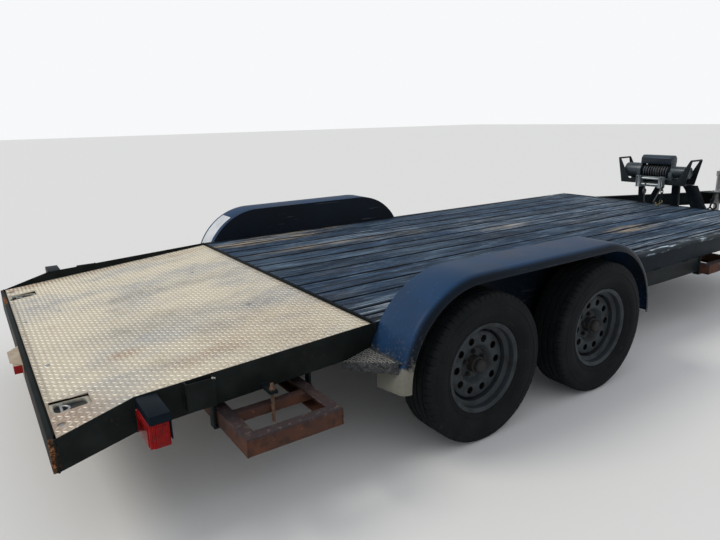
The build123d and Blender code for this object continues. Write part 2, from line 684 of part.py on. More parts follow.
def rim():
    """Pressed steel wheel: rolled barrel with a drop centre, and a dished disc with round holes."""
    half = RIM_WIDTH / 2
    seat_z = half - RIM_FLANGE_LENGTH
    slope_z = seat_z - RIM_SEAT_WIDTH
    well_z = slope_z - RIM_OUTER_SLOPE
    well_end_z = well_z - RIM_WELL_WIDTH
    outer_line = [(RIM_FLANGE_RADIUS, half), (RIM_SEAT_RADIUS, seat_z), (RIM_SEAT_RADIUS, slope_z),
                  (RIM_WELL_RADIUS, well_z), (RIM_WELL_RADIUS, well_end_z),
                  (RIM_SEAT_RADIUS, well_end_z - RIM_INNER_SLOPE), (RIM_SEAT_RADIUS, -seat_z),
                  (RIM_FLANGE_RADIUS, -half)]
    inner_line = [(r - RIM_WALL, z) for r, z in reversed(outer_line)]
    curl_r = RIM_FLANGE_RADIUS - EDGE_GAP
    inner_line[0] = (curl_r, -half - RIM_FLANGE_CURL)
    inner_line[1] = (RIM_SEAT_RADIUS - RIM_WALL, -seat_z - RIM_WALL)
    inner_line[-1] = (curl_r, half + RIM_FLANGE_CURL)
    inner_line[-2] = (RIM_SEAT_RADIUS - RIM_WALL, seat_z + RIM_WALL)
    barrel = turned(face_of(*outer_line, *inner_line))
    well = RIM_WELL_RADIUS - RIM_WALL + EDGE_GAP
    face_line = [(DISC_BORE_RADIUS, 0), (DISC_SEAT_RADIUS, 0), (DISC_CROWN_RADIUS, DISC_CROWN_RISE),
                 (DISC_CROWN_EDGE_RADIUS, DISC_CROWN_RISE), (DISC_RING_RADIUS, -DISC_RING_SET),
                 (well, -DISC_RING_SET)]
    back_line = [(r, z + RIM_WALL) for r, z in reversed(face_line)]
    disc = turned(face_of(*face_line, *back_line))
    hole = extrude(Circle(DISC_HOLE_RADIUS), RIM_WIDTH)
    for index in range(DISC_HOLE_COUNT):
        turn = Rot(0, 0, index * 360 / DISC_HOLE_COUNT)
        disc -= turn * Pos(DISC_HOLE_CIRCLE_RADIUS, 0, -half) * hole
    return barrel + disc


def hub():
    """Brake drum, hub flange, barrel and grease cap."""
    face_z = -RUNNING_CLEARANCE
    back = face_z - HUB_FLANGE_THICKNESS
    bore = SPINDLE_RADIUS + RUNNING_CLEARANCE
    drum_r = DRUM_RADIUS - DRUM_WALL
    barrel_end = back - HUB_BARREL_LENGTH
    cap_end = HUB_REACH + GREASE_CAP_REACH
    section = face_of((bore, barrel_end), (HUB_BARREL_RADIUS, barrel_end), (HUB_BARREL_RADIUS, back),
                      (drum_r, back), (drum_r, back - DRUM_DEPTH), (DRUM_RADIUS, back - DRUM_DEPTH),
                      (DRUM_RADIUS, face_z - DRUM_SHOULDER), (HUB_FLANGE_RADIUS, face_z),
                      (HUB_BARREL_RADIUS, face_z), (HUB_BARREL_RADIUS, HUB_REACH),
                      (GREASE_CAP_RADIUS, HUB_REACH), (GREASE_CAP_RADIUS, cap_end - GREASE_CAP_SLOPE),
                      (GREASE_CAP_RADIUS - GREASE_CAP_SLOPE, cap_end), (0, cap_end),
                      (0, HUB_REACH - HUB_CAP_WALL), (bore, HUB_REACH - HUB_CAP_WALL))
    return turned(section)


def axle(x):
    """Drop axle: low tube, upright end arms, spindles, backing plates and spring seats."""
    arm_y = SPRING_Y + SPRING_WIDTH / 2 + 2 * U_BOLT_RADIUS + DROP_ARM_GAP
    shoulder_end = arm_y + DROP_ARM_THICKNESS
    drum_end = HUB_FACE_Y - HUB_FLANGE_THICKNESS - DRUM_DEPTH
    plate_y = drum_end - BACKING_PLATE_THICKNESS - BACKING_PLATE_GAP
    spindle_y = HUB_FACE_Y + HUB_REACH - HUB_CAP_WALL - SPINDLE_END_GAP
    whole = rod_y(AXLE_TUBE_RADIUS, arm_y, -arm_y, x, AXLE_TUBE_Z)
    arm_middle = Pos(0, (AXLE_TUBE_Z + TYRE_RADIUS) / 2) * Rot(0, 0, 90)
    arm_face = arm_middle * SlotCenterToCenter(TYRE_RADIUS - AXLE_TUBE_Z, 2 * DROP_ARM_HALF_WIDTH)
    seat_top = AXLE_TUBE_Z + AXLE_TUBE_RADIUS + SPRING_SEAT_HEIGHT
    half = SPRING_WIDTH / 2
    for side in (-1, 1):
        whole += along_y(arm_face, side * shoulder_end, side * arm_y, x, 0)
        whole += rod_y(SPINDLE_SHOULDER_RADIUS, side * shoulder_end, side * plate_y, x, TYRE_RADIUS)
        whole += rod_y(SPINDLE_RADIUS, side * plate_y, side * spindle_y, x, TYRE_RADIUS)
        plate_end = side * (plate_y + BACKING_PLATE_THICKNESS)
        whole += rod_y(BACKING_PLATE_RADIUS, side * plate_y, plate_end, x, TYRE_RADIUS)
        seat_y = side * SPRING_Y
        whole += block(x - SPRING_SEAT_HALF_LENGTH, x + SPRING_SEAT_HALF_LENGTH, seat_y - half,
                       seat_y + half, AXLE_TUBE_Z + AXLE_TUBE_RADIUS / 3, seat_top)
    return whole



def leaf_spring(x):
    """Bow of stacked leaves with an eye at each end of the top leaf."""
    top_radius = (SPRING_HALF_LENGTH ** 2 + SPRING_ARCH ** 2) / (2 * SPRING_ARCH)
    centre_z = SPRING_LOW_Z + SPRING_PACK - LEAF_THICKNESS / 2 + top_radius
    width_y = (-SPRING_Y + SPRING_WIDTH / 2, -SPRING_Y - SPRING_WIDTH / 2)
    spring = None
    for level, share in enumerate(LEAF_LENGTH_SHARES):
        inner = top_radius - LEAF_THICKNESS / 2 + level * LEAF_THICKNESS
        outer = inner + LEAF_THICKNESS
        half_angle = share * asin(SPRING_HALF_LENGTH / top_radius)
        ends = [(r * sin(a), centre_z - r * cos(a)) for r in (inner, outer)
                for a in (-half_angle, half_angle)]
        leaf = make_face(Wire([
            ThreePointArc(ends[0], (0, centre_z - inner), ends[1]), Line(ends[1], ends[3]),
            ThreePointArc(ends[3], (0, centre_z - outer), ends[2]), Line(ends[2], ends[0])]))
        solid = along_y(leaf, *width_y, x, 0)
        spring = solid if spring is None else spring + solid
    eye_xs = (x - SPRING_HALF_LENGTH, x + SPRING_HALF_LENGTH)
    for eye_x in eye_xs:
        spring += rod_y(SPRING_EYE_RADIUS, *width_y, eye_x, SPRING_EYE_Z)
    for eye_x in eye_xs:
        spring -= rod_y(SPRING_PIN_RADIUS + RUNNING_CLEARANCE, *width_y, eye_x, SPRING_EYE_Z)
    return spring


def spring_clamp(x):
    """Plate on a spring, with the two U-bolts that draw the axle tube up to it."""
    plate_z = SPRING_LOW_Z + SPRING_PACK + CLAMP_PLATE_GAP
    leg_x = AXLE_TUBE_RADIUS + U_BOLT_RADIUS + RUNNING_CLEARANCE
    leg_y = SPRING_WIDTH / 2 + U_BOLT_RADIUS + RUNNING_CLEARANCE
    reach_x = SPRING_SEAT_HALF_LENGTH + CLAMP_PLATE_MARGIN
    reach_y = leg_y + U_BOLT_RADIUS + EDGE_GAP
    top_z = plate_z + CLAMP_PLATE_THICKNESS
    clamp = block(x - reach_x, x + reach_x, -SPRING_Y - reach_y, -SPRING_Y + reach_y, plate_z, top_z)
    bend = CenterArc((0, AXLE_TUBE_Z), leg_x, 180, 180)
    end_z = top_z + U_BOLT_STICK_OUT
    path = Line((-leg_x, end_z), (-leg_x, AXLE_TUBE_Z)) + bend + Line((leg_x, AXLE_TUBE_Z), (leg_x, end_z))
    for side in (-1, 1):
        place = Plane(origin=(x, -SPRING_Y + side * leg_y, 0), x_dir=(1, 0, 0), z_dir=(0, -1, 0))
        line = place * path
        start = Plane(origin=line @ 0, z_dir=line % 0)
        clamp += sweep(start * RegularPolygon(U_BOLT_RADIUS, 8), line)
    return clamp


def hanger_piece(outline, x, pin_z):
    """Two plates of one outline either side of a spring, with the bolt through them."""
    inner = SPRING_WIDTH / 2 + HANGER_PLATE_GAP
    outer = inner + HANGER_PLATE
    reach = outer + HANGER_BOLT_END
    piece = rod_y(SPRING_PIN_RADIUS, -SPRING_Y + reach, -SPRING_Y - reach, x, pin_z)
    for side in (-1, 1):
        piece += along_y(outline, -SPRING_Y + side * outer, -SPRING_Y + side * inner, x, 0)
    return piece


def hanger(x):
    """Hanger welded under the sub-rail for the outer eye of a spring."""
    tip = [(HANGER_TIP_RADIUS * cos(radians(a)), SPRING_EYE_Z + HANGER_TIP_RADIUS * sin(radians(a)))
           for a in (-20, -55, -90, -125, -160)]
    outline = face_of((-HANGER_HALF_LENGTH, SUBRAIL_BOTTOM_Z), (HANGER_HALF_LENGTH, SUBRAIL_BOTTOM_Z),
                      *tip)
    return hanger_piece(outline, x, SPRING_EYE_Z)


def equalizer_pivot_z():
    return SUBRAIL_BOTTOM_Z - EQUALIZER_DROP


def centre_hanger():
    """Hanger midway between the axles that the equalizer rocks in."""
    pivot_z = equalizer_pivot_z()
    half = CENTRE_HANGER_HALF_LENGTH
    tip_half = CENTRE_HANGER_TIP_HALF_LENGTH
    tip_z = pivot_z - CENTRE_HANGER_TIP_DROP
    outline = face_of((-half, SUBRAIL_BOTTOM_Z), (half, SUBRAIL_BOTTOM_Z), (tip_half, tip_z),
                      (-tip_half, tip_z))
    return hanger_piece(outline, 0, pivot_z)


def equalizer():
    """Rocking link between the two springs, with a shackle at each end to the spring's eye."""
    pivot_z = equalizer_pivot_z()
    eye_x = AXLE_SPACING / 2 - SPRING_HALF_LENGTH
    half = SPRING_WIDTH / 2
    bar = Pos(0, pivot_z) * SlotCenterToCenter(2 * EQUALIZER_HALF_LENGTH, 2 * EQUALIZER_RADIUS)
    link = along_y(bar, -SPRING_Y + half, -SPRING_Y - half, 0, 0)
    link -= rod_y(SPRING_PIN_RADIUS + RUNNING_CLEARANCE, -SPRING_Y + half, -SPRING_Y - half, 0, pivot_z)
    reach = hypot(eye_x - EQUALIZER_HALF_LENGTH, SPRING_EYE_Z - pivot_z)
    lean = degrees(atan2(SPRING_EYE_Z - pivot_z, eye_x - EQUALIZER_HALF_LENGTH))
    inner = half + RUNNING_CLEARANCE
    outer = inner + SHACKLE_THICKNESS
    bolt = outer + SHACKLE_BOLT_END
    for end in (-1, 1):
        middle = Pos(end * (eye_x + EQUALIZER_HALF_LENGTH) / 2, (SPRING_EYE_Z + pivot_z) / 2)
        strap = middle * Rot(0, 0, end * lean) * SlotCenterToCenter(reach, 2 * SHACKLE_RADIUS)
        for side in (-1, 1):
            link += along_y(strap, -SPRING_Y + side * outer, -SPRING_Y + side * inner, 0, 0)
        for pin_x, pin_z in ((end * EQUALIZER_HALF_LENGTH, pivot_z), (end * eye_x, SPRING_EYE_Z)):
            link += rod_y(SPRING_PIN_RADIUS, -SPRING_Y + bolt, -SPRING_Y - bolt, pin_x, pin_z)
    return link


# Fenders

def arch_face(inset, bottom_z):
    """Side view of the fender, drawn in by an inset: a flat crown between two quarter rounds."""
    half = FENDER_HALF_LENGTH - inset
    radius = FENDER_CORNER_RADIUS - inset
    top = FENDER_TOP_Z - inset
    knee_x = half - radius
    knee_z = top - radius
    slant = radius * sqrt(0.5)
    return make_face(Wire([
        Line((-half, bottom_z), (-half, knee_z)),
        ThreePointArc((-half, knee_z), (-knee_x - slant, knee_z + slant), (-knee_x, top)),
        Line((-knee_x, top), (knee_x, top)),
        ThreePointArc((knee_x, top), (knee_x + slant, knee_z + slant), (half, knee_z)),
        Line((half, knee_z), (half, bottom_z)),
        Line((half, bottom_z), (-half, bottom_z))]))


def fender():
    """Tandem fender of rolled sheet: a crown, an inner wall down to the rail and a rolled edge."""
    inner_y = -FRAME_HALF_WIDTH
    outer_y = -FENDER_OUTER_Y
    half = FENDER_HALF_LENGTH
    low = FENDER_BOTTOM_Z
    under = low - FENDER_LIP_DEPTH
    body = along_y(arch_face(0, low), inner_y, outer_y, 0, 0)
    body = fillet(edges_above(body, outer_y, low), FENDER_ROLL_RADIUS)
    hollow = along_y(arch_face(FENDER_SHEET, under), inner_y - FENDER_SHEET,
                     outer_y + FENDER_SHEET, 0, 0)
    hollow = fillet(edges_above(hollow, outer_y + FENDER_SHEET, low), FENDER_ROLL_RADIUS - FENDER_SHEET)
    mouth = along_y(arch_face(FENDER_LIP_DEPTH, under), outer_y + 2 * FENDER_ROLL_RADIUS,
                    outer_y - FENDER_SHEET, 0, 0)
    under_rail = block(FENDER_SHEET - half, half - FENDER_SHEET, inner_y + EDGE_GAP,
                       inner_y - FENDER_SHEET - EDGE_GAP, under, FRAME_BOTTOM_Z)
    front = block(half - 2 * FENDER_LIP_DEPTH, half + EDGE_GAP, inner_y + EDGE_GAP,
                  outer_y - EDGE_GAP, under, FENDER_OUTER_BOTTOM_Z)
    notch_y = inner_y - FENDER_NOTCH_WIDTH
    rear_face = face_of((inner_y + EDGE_GAP, FENDER_NOTCH_TOP_Z), (notch_y, FENDER_NOTCH_TOP_Z),
                        (notch_y, low), (outer_y - EDGE_GAP, FENDER_OUTER_BOTTOM_Z),
                        (outer_y - EDGE_GAP, under), (inner_y + EDGE_GAP, under))
    rear = along_x(rear_face, -half - EDGE_GAP, 2 * FENDER_LIP_DEPTH - half, 0, 0)
    return body - hollow - mouth - under_rail - front - rear


def edges_above(solid, y, low):
    """Edges of the arch that lie in one upright plane, without those along its foot."""
    return solid.edges().filter_by(
        lambda e: abs(e.center().Y - y) < EDGE_GAP and e.center().Z > low + EDGE_GAP)


def fender_end_x(z):
    """Distance from the arch's middle to its end face at a height."""
    knee = FENDER_HALF_LENGTH - FENDER_CORNER_RADIUS
    rise = max(0.0, z - FENDER_TOP_Z + FENDER_CORNER_RADIUS)
    return knee + sqrt(FENDER_CORNER_RADIUS ** 2 - rise ** 2)


def side_step():
    """Triangular tread plate step that slopes up to the fender, with its long edge folded down."""
    rail_y = -FRAME_HALF_WIDTH
    root_x = -fender_end_x(STEP_ROOT_Z - STEP_THICKNESS) - RUNNING_CLEARANCE
    lip_x = -fender_end_x(STEP_ROOT_Z - STEP_ROOT_LIP) - RUNNING_CLEARANCE
    tip_x = root_x - STEP_LENGTH
    outer_y = rail_y - STEP_REACH
    slope = STEP_REACH / STEP_LENGTH
    run = hypot(1, slope)
    plan = face_of((tip_x, rail_y), (root_x, rail_y), (root_x, outer_y))
    top = face_of((tip_x, STEP_TIP_Z), (root_x, STEP_ROOT_Z), (root_x, STEP_ROOT_Z - STEP_THICKNESS),
                  (tip_x, STEP_TIP_Z - STEP_THICKNESS))
    lip_outer_y = rail_y - (lip_x - tip_x) * slope
    fold_y = STEP_THICKNESS * run
    fold_plan = face_of((tip_x, rail_y), (lip_x, lip_outer_y), (lip_x, lip_outer_y + fold_y),
                        (tip_x + fold_y / slope, rail_y))
    fold = face_of((tip_x, STEP_TIP_Z), (root_x, STEP_ROOT_Z), (root_x, STEP_ROOT_Z - STEP_ROOT_LIP),
                   (tip_x, STEP_TIP_Z - STEP_TIP_LIP))
    low = STEP_TIP_Z - STEP_LENGTH
    plate = extrude(Pos(0, 0, low) * plan, DECK_Z - low) & along_y(top, rail_y, outer_y, 0, 0)
    lip = extrude(Pos(0, 0, low) * fold_plan, DECK_Z - low) & along_y(fold, rail_y, outer_y, 0, 0)
    return plate + lip


def stake_pocket():
    """Open-ended box welded to the outside of the dovetail rail."""
    half = POCKET_WIDTH / 2
    top = dovetail_top_z(POCKET_X - half)
    y1 = -FRAME_HALF_WIDTH
    y0 = y1 - POCKET_DEPTH
    box = block(POCKET_X - half, POCKET_X + half, y0, y1, top - POCKET_HEIGHT, top)
    return box - block(POCKET_X - half + POCKET_WALL, POCKET_X + half - POCKET_WALL, y0 + POCKET_WALL,
                       y1, top - POCKET_HEIGHT, top)


# Tongue

def tongue_rail():
    """Channel from the front of the frame in to the coupler, its web outwards."""
    angle = radians(TONGUE_HALF_ANGLE)
    front = Vector(TONGUE_FRONT_X, -TONGUE_FRONT_GAP, FRAME_BOTTOM_Z)
    spare = 2 * RAIL_FLANGE
    length = (TONGUE_FRONT_X - DECK_FRONT_X) / cos(angle) + spare
    direction = Vector(cos(angle), sin(angle), 0)
    inward = Vector(-sin(angle), cos(angle), 0)
    start = Plane(origin=front - direction * length, x_dir=inward, z_dir=direction)
    section = channel_face(RAIL_DEPTH, RAIL_FLANGE, RAIL_WEB, RAIL_FLANGE_THICKNESS)
    rail = extrude(start * section, length + spare)
    keep = block(DECK_FRONT_X + RAIL_WEB, TONGUE_FRONT_X, -2 * FRAME_HALF_WIDTH, -TONGUE_MIDDLE_GAP, 0,
                 2 * DECK_Z)
    return rail & keep


def tongue_half_width(x):
    """Outer face of the tongue rails at a place along them."""
    return TONGUE_FRONT_GAP + (TONGUE_FRONT_X - x) * tan(radians(TONGUE_HALF_ANGLE))


def tongue_plates():
    """Jack plate on top of the rails near the front, and the joint plates under their rear ends."""
    x0 = JACK_X - JACK_PLATE_BEHIND
    x1 = JACK_X + JACK_PLATE_AHEAD
    upper = face_of((x0, -tongue_half_width(x0)), (x1, -tongue_half_width(x1)),
                    (x1, tongue_half_width(x1)), (x0, tongue_half_width(x0)))
    jack_plate = extrude(Pos(0, 0, DECK_Z) * upper, TONGUE_PLATE_THICKNESS)
    jack_plate -= rod_z(JACK_TUBE_RADIUS + RUNNING_CLEARANCE, FRAME_BOTTOM_Z, JACK_TUBE_TOP_Z, JACK_X, 0)
    x2 = DECK_FRONT_X - RAIL_FLANGE
    x3 = DECK_FRONT_X + JOINT_PLATE_LENGTH
    wide = tongue_half_width(DECK_FRONT_X) + JOINT_PLATE_MARGIN
    inner = wide - JOINT_PLATE_REAR_WIDTH
    pieces = [jack_plate]
    for side in (-1, 1):
        tip = tongue_half_width(x3)
        lower = face_of((x2, side * wide), (x3, side * tip), (x3, side * (tip - JOINT_PLATE_FRONT_WIDTH)),
                        (x2, side * inner))
        pieces.append(extrude(Pos(0, 0, FRAME_BOTTOM_Z - TONGUE_PLATE_THICKNESS) * lower,
                              TONGUE_PLATE_THICKNESS))
    return pieces


def coupler():
    """Pressed coupler: a tapered hood over the tongue's nose and a ball socket open below."""
    rear_x = TONGUE_FRONT_X - COUPLER_LAP
    stop_x = TONGUE_FRONT_X + COUPLER_STOP
    socket_r = BALL_SOCKET_RADIUS + BALL_SOCKET_WALL
    low = COUPLER_BOTTOM_Z
    height = COUPLER_TOP_Z - low
    rear_fit = tongue_half_width(rear_x) + COUPLER_FIT
    nose_fit = tongue_half_width(TONGUE_FRONT_X) + COUPLER_FIT
    wide_rear = rear_fit + COUPLER_WALL
    wide_nose = nose_fit + COUPLER_WALL
    outer = face_of((rear_x, -wide_rear), (TONGUE_FRONT_X, -wide_nose), (BALL_X, -socket_r),
                    (BALL_X, socket_r), (TONGUE_FRONT_X, wide_nose), (rear_x, wide_rear))
    hood = extrude(Pos(0, 0, low) * outer, height)
    inner = face_of((rear_x, -rear_fit), (stop_x, -nose_fit), (stop_x, nose_fit), (rear_x, rear_fit))
    hood -= extrude(Pos(0, 0, low) * inner, height - COUPLER_TOP_RISE)
    skirt_z = low + BALL_SOCKET_SKIRT
    hood += rod_z(socket_r, low, COUPLER_TOP_Z, BALL_X, 0)
    hood -= rod_z(BALL_SOCKET_RADIUS, low, skirt_z, BALL_X, 0)
    hood -= Pos(BALL_X, 0, skirt_z) * Sphere(BALL_SOCKET_RADIUS)
    hood += block(LATCH_X - LATCH_LUG_HALF_LENGTH, LATCH_X + LATCH_LUG_HALF_LENGTH, -LATCH_LUG_HALF_WIDTH,
                  LATCH_LUG_HALF_WIDTH, COUPLER_TOP_Z, COUPLER_TOP_Z + LATCH_LUG_HEIGHT)
    bore = LATCH_PIN_RADIUS + RUNNING_CLEARANCE
    return hood - rod_y(bore, LATCH_LUG_HALF_WIDTH, -LATCH_LUG_HALF_WIDTH, LATCH_X, LATCH_Z)


def coupler_latch():
    """Flat lever over the socket, hinged on the lug behind it."""
    low = COUPLER_TOP_Z + LATCH_LEVER_GAP
    top = COUPLER_TOP_Z + LATCH_LUG_HEIGHT
    back_x = LATCH_X - LATCH_CHEEK_SETBACK
    front_x = LATCH_X + LATCH_LEVER_LENGTH
    pin_reach = LATCH_CHEEK_OUTER_Y + COUPLER_STOP
    cheek = face_of((back_x, low), (front_x, low), (front_x, LATCH_Z),
                    (LATCH_X + LATCH_LUG_HALF_LENGTH, top), (back_x, top))
    lever = rod_y(LATCH_PIN_RADIUS, pin_reach, -pin_reach, LATCH_X, LATCH_Z)
    lever += along_y(cheek, -LATCH_CHEEK_INNER_Y, -LATCH_CHEEK_OUTER_Y, 0, 0)
    lever += along_y(cheek, LATCH_CHEEK_OUTER_Y, LATCH_CHEEK_INNER_Y, 0, 0)
    return lever + block(LATCH_X + LATCH_LEVER_START, front_x, -LATCH_CHEEK_OUTER_Y,
                         LATCH_CHEEK_OUTER_Y, low, low + LATCH_LEVER_THICKNESS)


def jack_tube():
    """Outer tube of the screw jack, with its flange on the plate and its gear head."""
    bore_top = JACK_TUBE_TOP_Z - JACK_CAP_THICKNESS
    tube = rod_z(JACK_TUBE_RADIUS, JACK_TUBE_BOTTOM_Z, JACK_TUBE_TOP_Z, JACK_X, 0)
    flange_z = DECK_Z + TONGUE_PLATE_THICKNESS
    tube += rod_z(JACK_FLANGE_RADIUS, flange_z, flange_z + JACK_FLANGE_THICKNESS, JACK_X, 0)
    head_top = JACK_TUBE_TOP_Z + JACK_HEAD_RISE
    tube += rod_z(JACK_TUBE_RADIUS + JACK_HEAD_WALL, head_top - JACK_HEAD_HEIGHT, head_top, JACK_X, 0)
    return tube - rod_z(JACK_TUBE_RADIUS - JACK_TUBE_WALL, JACK_TUBE_BOTTOM_Z, bore_top, JACK_X, 0)


def jack_leg():
    """Inner tube of the jack, with its foot plate on the ground."""
    leg = rod_z(JACK_LEG_RADIUS, JACK_FOOT_THICKNESS, JACK_LEG_TOP_Z, JACK_X, 0)
    leg -= rod_z(JACK_LEG_RADIUS - JACK_LEG_WALL, JACK_FOOT_THICKNESS + JACK_LEG_PLUG, JACK_LEG_TOP_Z,
                 JACK_X, 0)
    half = JACK_FOOT_SIDE / 2
    return leg + block(JACK_X - half, JACK_X + half, -half, half, 0, JACK_FOOT_THICKNESS)


def jack_crank():
    """Crank on top of the jack, turned forwards: shaft, arm and upright grip."""
    z0 = JACK_TUBE_TOP_Z + JACK_HEAD_RISE + RUNNING_CLEARANCE
    z1 = z0 + JACK_CRANK_SHAFT_HEIGHT
    z2 = z1 + JACK_CRANK_ARM_THICKNESS
    half = JACK_CRANK_SHAFT_RADIUS
    crank = rod_z(half, z0, z2, JACK_X, 0)
    grip_x = JACK_X + JACK_CRANK_REACH
    arm = block(JACK_X - half, grip_x + half, -half, half, z1, z2)
    return crank + arm + rod_z(JACK_GRIP_RADIUS, z2, z2 + JACK_GRIP_LENGTH, grip_x, 0)


# Lamps

def lamp_hood():
    """Folded hood over a tail lamp, on a plate that stands out from the dovetail rail."""
    x0 = HOOD_REAR_X
    x1 = HOOD_REAR_X + HOOD_LENGTH
    y1 = -FRAME_HALF_WIDTH
    y0 = y1 - HOOD_REACH
    top = HOOD_TOP_Z
    hood = block(x0, x1, y0, y1, top - HOOD_SHEET, top)
    hood += block(x0, x0 + HOOD_SHEET, y0, y1, top - HOOD_LIP, top)
    hood += block(x0, x1, y0, y0 + HOOD_SHEET, top - HOOD_LIP, top)
    return hood + block(x1 - HOOD_SHEET, x1, y0, y1, top - HOOD_PLATE_DEPTH, top)


def tail_lamp():
    """Square combination lamp under its hood, with its lens to the rear and the side."""
    x0 = HOOD_REAR_X + HOOD_SHEET + RUNNING_CLEARANCE
    x1 = HOOD_REAR_X + HOOD_LENGTH - HOOD_SHEET
    y0 = -FRAME_HALF_WIDTH - HOOD_REACH + HOOD_SHEET + RUNNING_CLEARANCE
    top = HOOD_TOP_Z - HOOD_SHEET
    lamp = block(x0, x1, y0, y0 + LAMP_WIDTH, top - LAMP_HEIGHT, top)
    upright = lamp.edges().filter_by(Axis.Z).filter_by(lambda e: e.center().X < (x0 + x1) / 2)
    return fillet(upright, LAMP_EDGE_RADIUS)


def centre_lamp():
    """Tapering sheet carrier on the rear channel with a small lamp under its right end."""
    x0 = REAR_FACE_X
    x1 = REAR_X
    y = CENTRE_LAMP_Y
    root = CENTRE_LAMP_ROOT_WIDTH / 2
    end = CENTRE_LAMP_END_WIDTH / 2
    top = DOVETAIL_REAR_Z - CENTRE_LAMP_DROP
    under = top - CENTRE_LAMP_SHEET
    plan = face_of((x0, y - root), (x0, y + root), (x1, y + end), (x1, y - end))
    carrier = extrude(Pos(0, 0, under) * plan, CENTRE_LAMP_SHEET)
    carrier += block(x0 - CENTRE_LAMP_SHEET, x0, y - root, y + root, top - CENTRE_LAMP_BACK_DEPTH, top)
    lens_x = x0 - CENTRE_LAMP_SHEET
    lens_y = y - root + CENTRE_LAMP_LENS_INSET
    return carrier + block(lens_x - CENTRE_LAMP_LENS_DEPTH, lens_x, lens_y,
                           lens_y + CENTRE_LAMP_LENS_WIDTH, under - CENTRE_LAMP_LENS_HEIGHT, under)


# Loading ramps

def ramp(centre_x, end_y):
    """Ladder ramp stored on its side rails: two channels, a closed outer end and square rungs."""
    y0 = end_y
    y1 = end_y + RAMP_LENGTH
    half = RAMP_WIDTH / 2
    low = RAMP_TOP_Z - RAMP_DEPTH
    section = channel_face(RAMP_DEPTH, RAMP_RAIL_FLANGE, RAMP_WALL, RAMP_WALL)
    rail = along_y(section, y1, y0, centre_x - half, low)
    frame = rail + mirror(rail, Plane.YZ.offset(centre_x))
    frame += block(centre_x - half, centre_x + half, y0, y0 + RAMP_WALL, low, RAMP_TOP_Z)
    frame += block(centre_x - half, centre_x + half, y0, y0 + RAMP_RAIL_FLANGE, RAMP_TOP_Z - RAMP_WALL,
                   RAMP_TOP_Z)
    pitch = (RAMP_LENGTH - RAMP_FIRST_RUNG - RAMP_RUNG_SIDE) / (RAMP_RUNG_COUNT - 1)
    for index in range(RAMP_RUNG_COUNT):
        y = y0 + RAMP_FIRST_RUNG + index * pitch
        frame += block(centre_x - half + RAMP_WALL, centre_x + half - RAMP_WALL, y, y + RAMP_RUNG_SIDE,
                       RAMP_TOP_Z - RAMP_WALL - RAMP_RUNG_SIDE, RAMP_TOP_Z - RAMP_WALL)
    return frame


def carrier(centre_x, y, hang_z):
    """Stirrup of flat bar that holds a ramp up; hang_z gives the underside it is welded to."""
    inner = (centre_x - CARRIER_HALF_WIDTH, centre_x + CARRIER_HALF_WIDTH)
    outer = (inner[0] - CARRIER_BAR, inner[1] + CARRIER_BAR)
    low = RAMP_TOP_Z - RAMP_DEPTH - RUNNING_CLEARANCE
    w = CARRIER_BAR_WIDTH / 2
    outline = face_of((outer[0], hang_z(outer[0])), (outer[0], low - CARRIER_BAR),
                      (outer[1], low - CARRIER_BAR), (outer[1], hang_z(outer[1])),
                      (inner[1], hang_z(inner[1])), (inner[1], low), (inner[0], low),
                      (inner[0], hang_z(inner[0])))
    return along_y(outline, y + w, y - w, 0, 0)


def rail_underside(x):
    """Underside of the side rails, along deck and dovetail."""
    return FRAME_BOTTOM_Z if x > DECK_REAR_X else dovetail_top_z(x) - RAIL_DEPTH


def member_underside(x):
    """Underside of the cross channels, along deck and dovetail."""
    if x > DECK_REAR_X:
        return DECK_Z - PLANK_THICKNESS - CROSSMEMBER_DEPTH
    return plate_top_z(x) - (PLATE_THICKNESS + DOVETAIL_MEMBER_DEPTH) / cos(PLATE_SLOPE)


def ramp_pin(x, y):
    """Drop pin through its bracket into the ramp, with a head to lift it by."""
    pin = rod_z(RAMP_PIN_RADIUS, RAMP_PIN_BOTTOM_Z, RAMP_PIN_TOP_Z, x, y)
    head_z = PIN_BRACKET_Z + PIN_BRACKET_THICKNESS + RUNNING_CLEARANCE
    return pin + rod_z(RAMP_PIN_HEAD_RADIUS, head_z, head_z + RAMP_PIN_HEAD_THICKNESS, x, y)


def pin_bracket(x, y, face_y):
    """Lug on the rail's outer face that guides a ramp's drop pin."""
    z0 = PIN_BRACKET_Z
    z1 = z0 + PIN_BRACKET_THICKNESS
    half = PIN_BRACKET_HALF_WIDTH
    lug = block(x - half, x + half, y - half, face_y, z0, z1)
    return lug - rod_z(RAMP_PIN_RADIUS + 2 * RUNNING_CLEARANCE, z0, z1, x, y)


# Winch

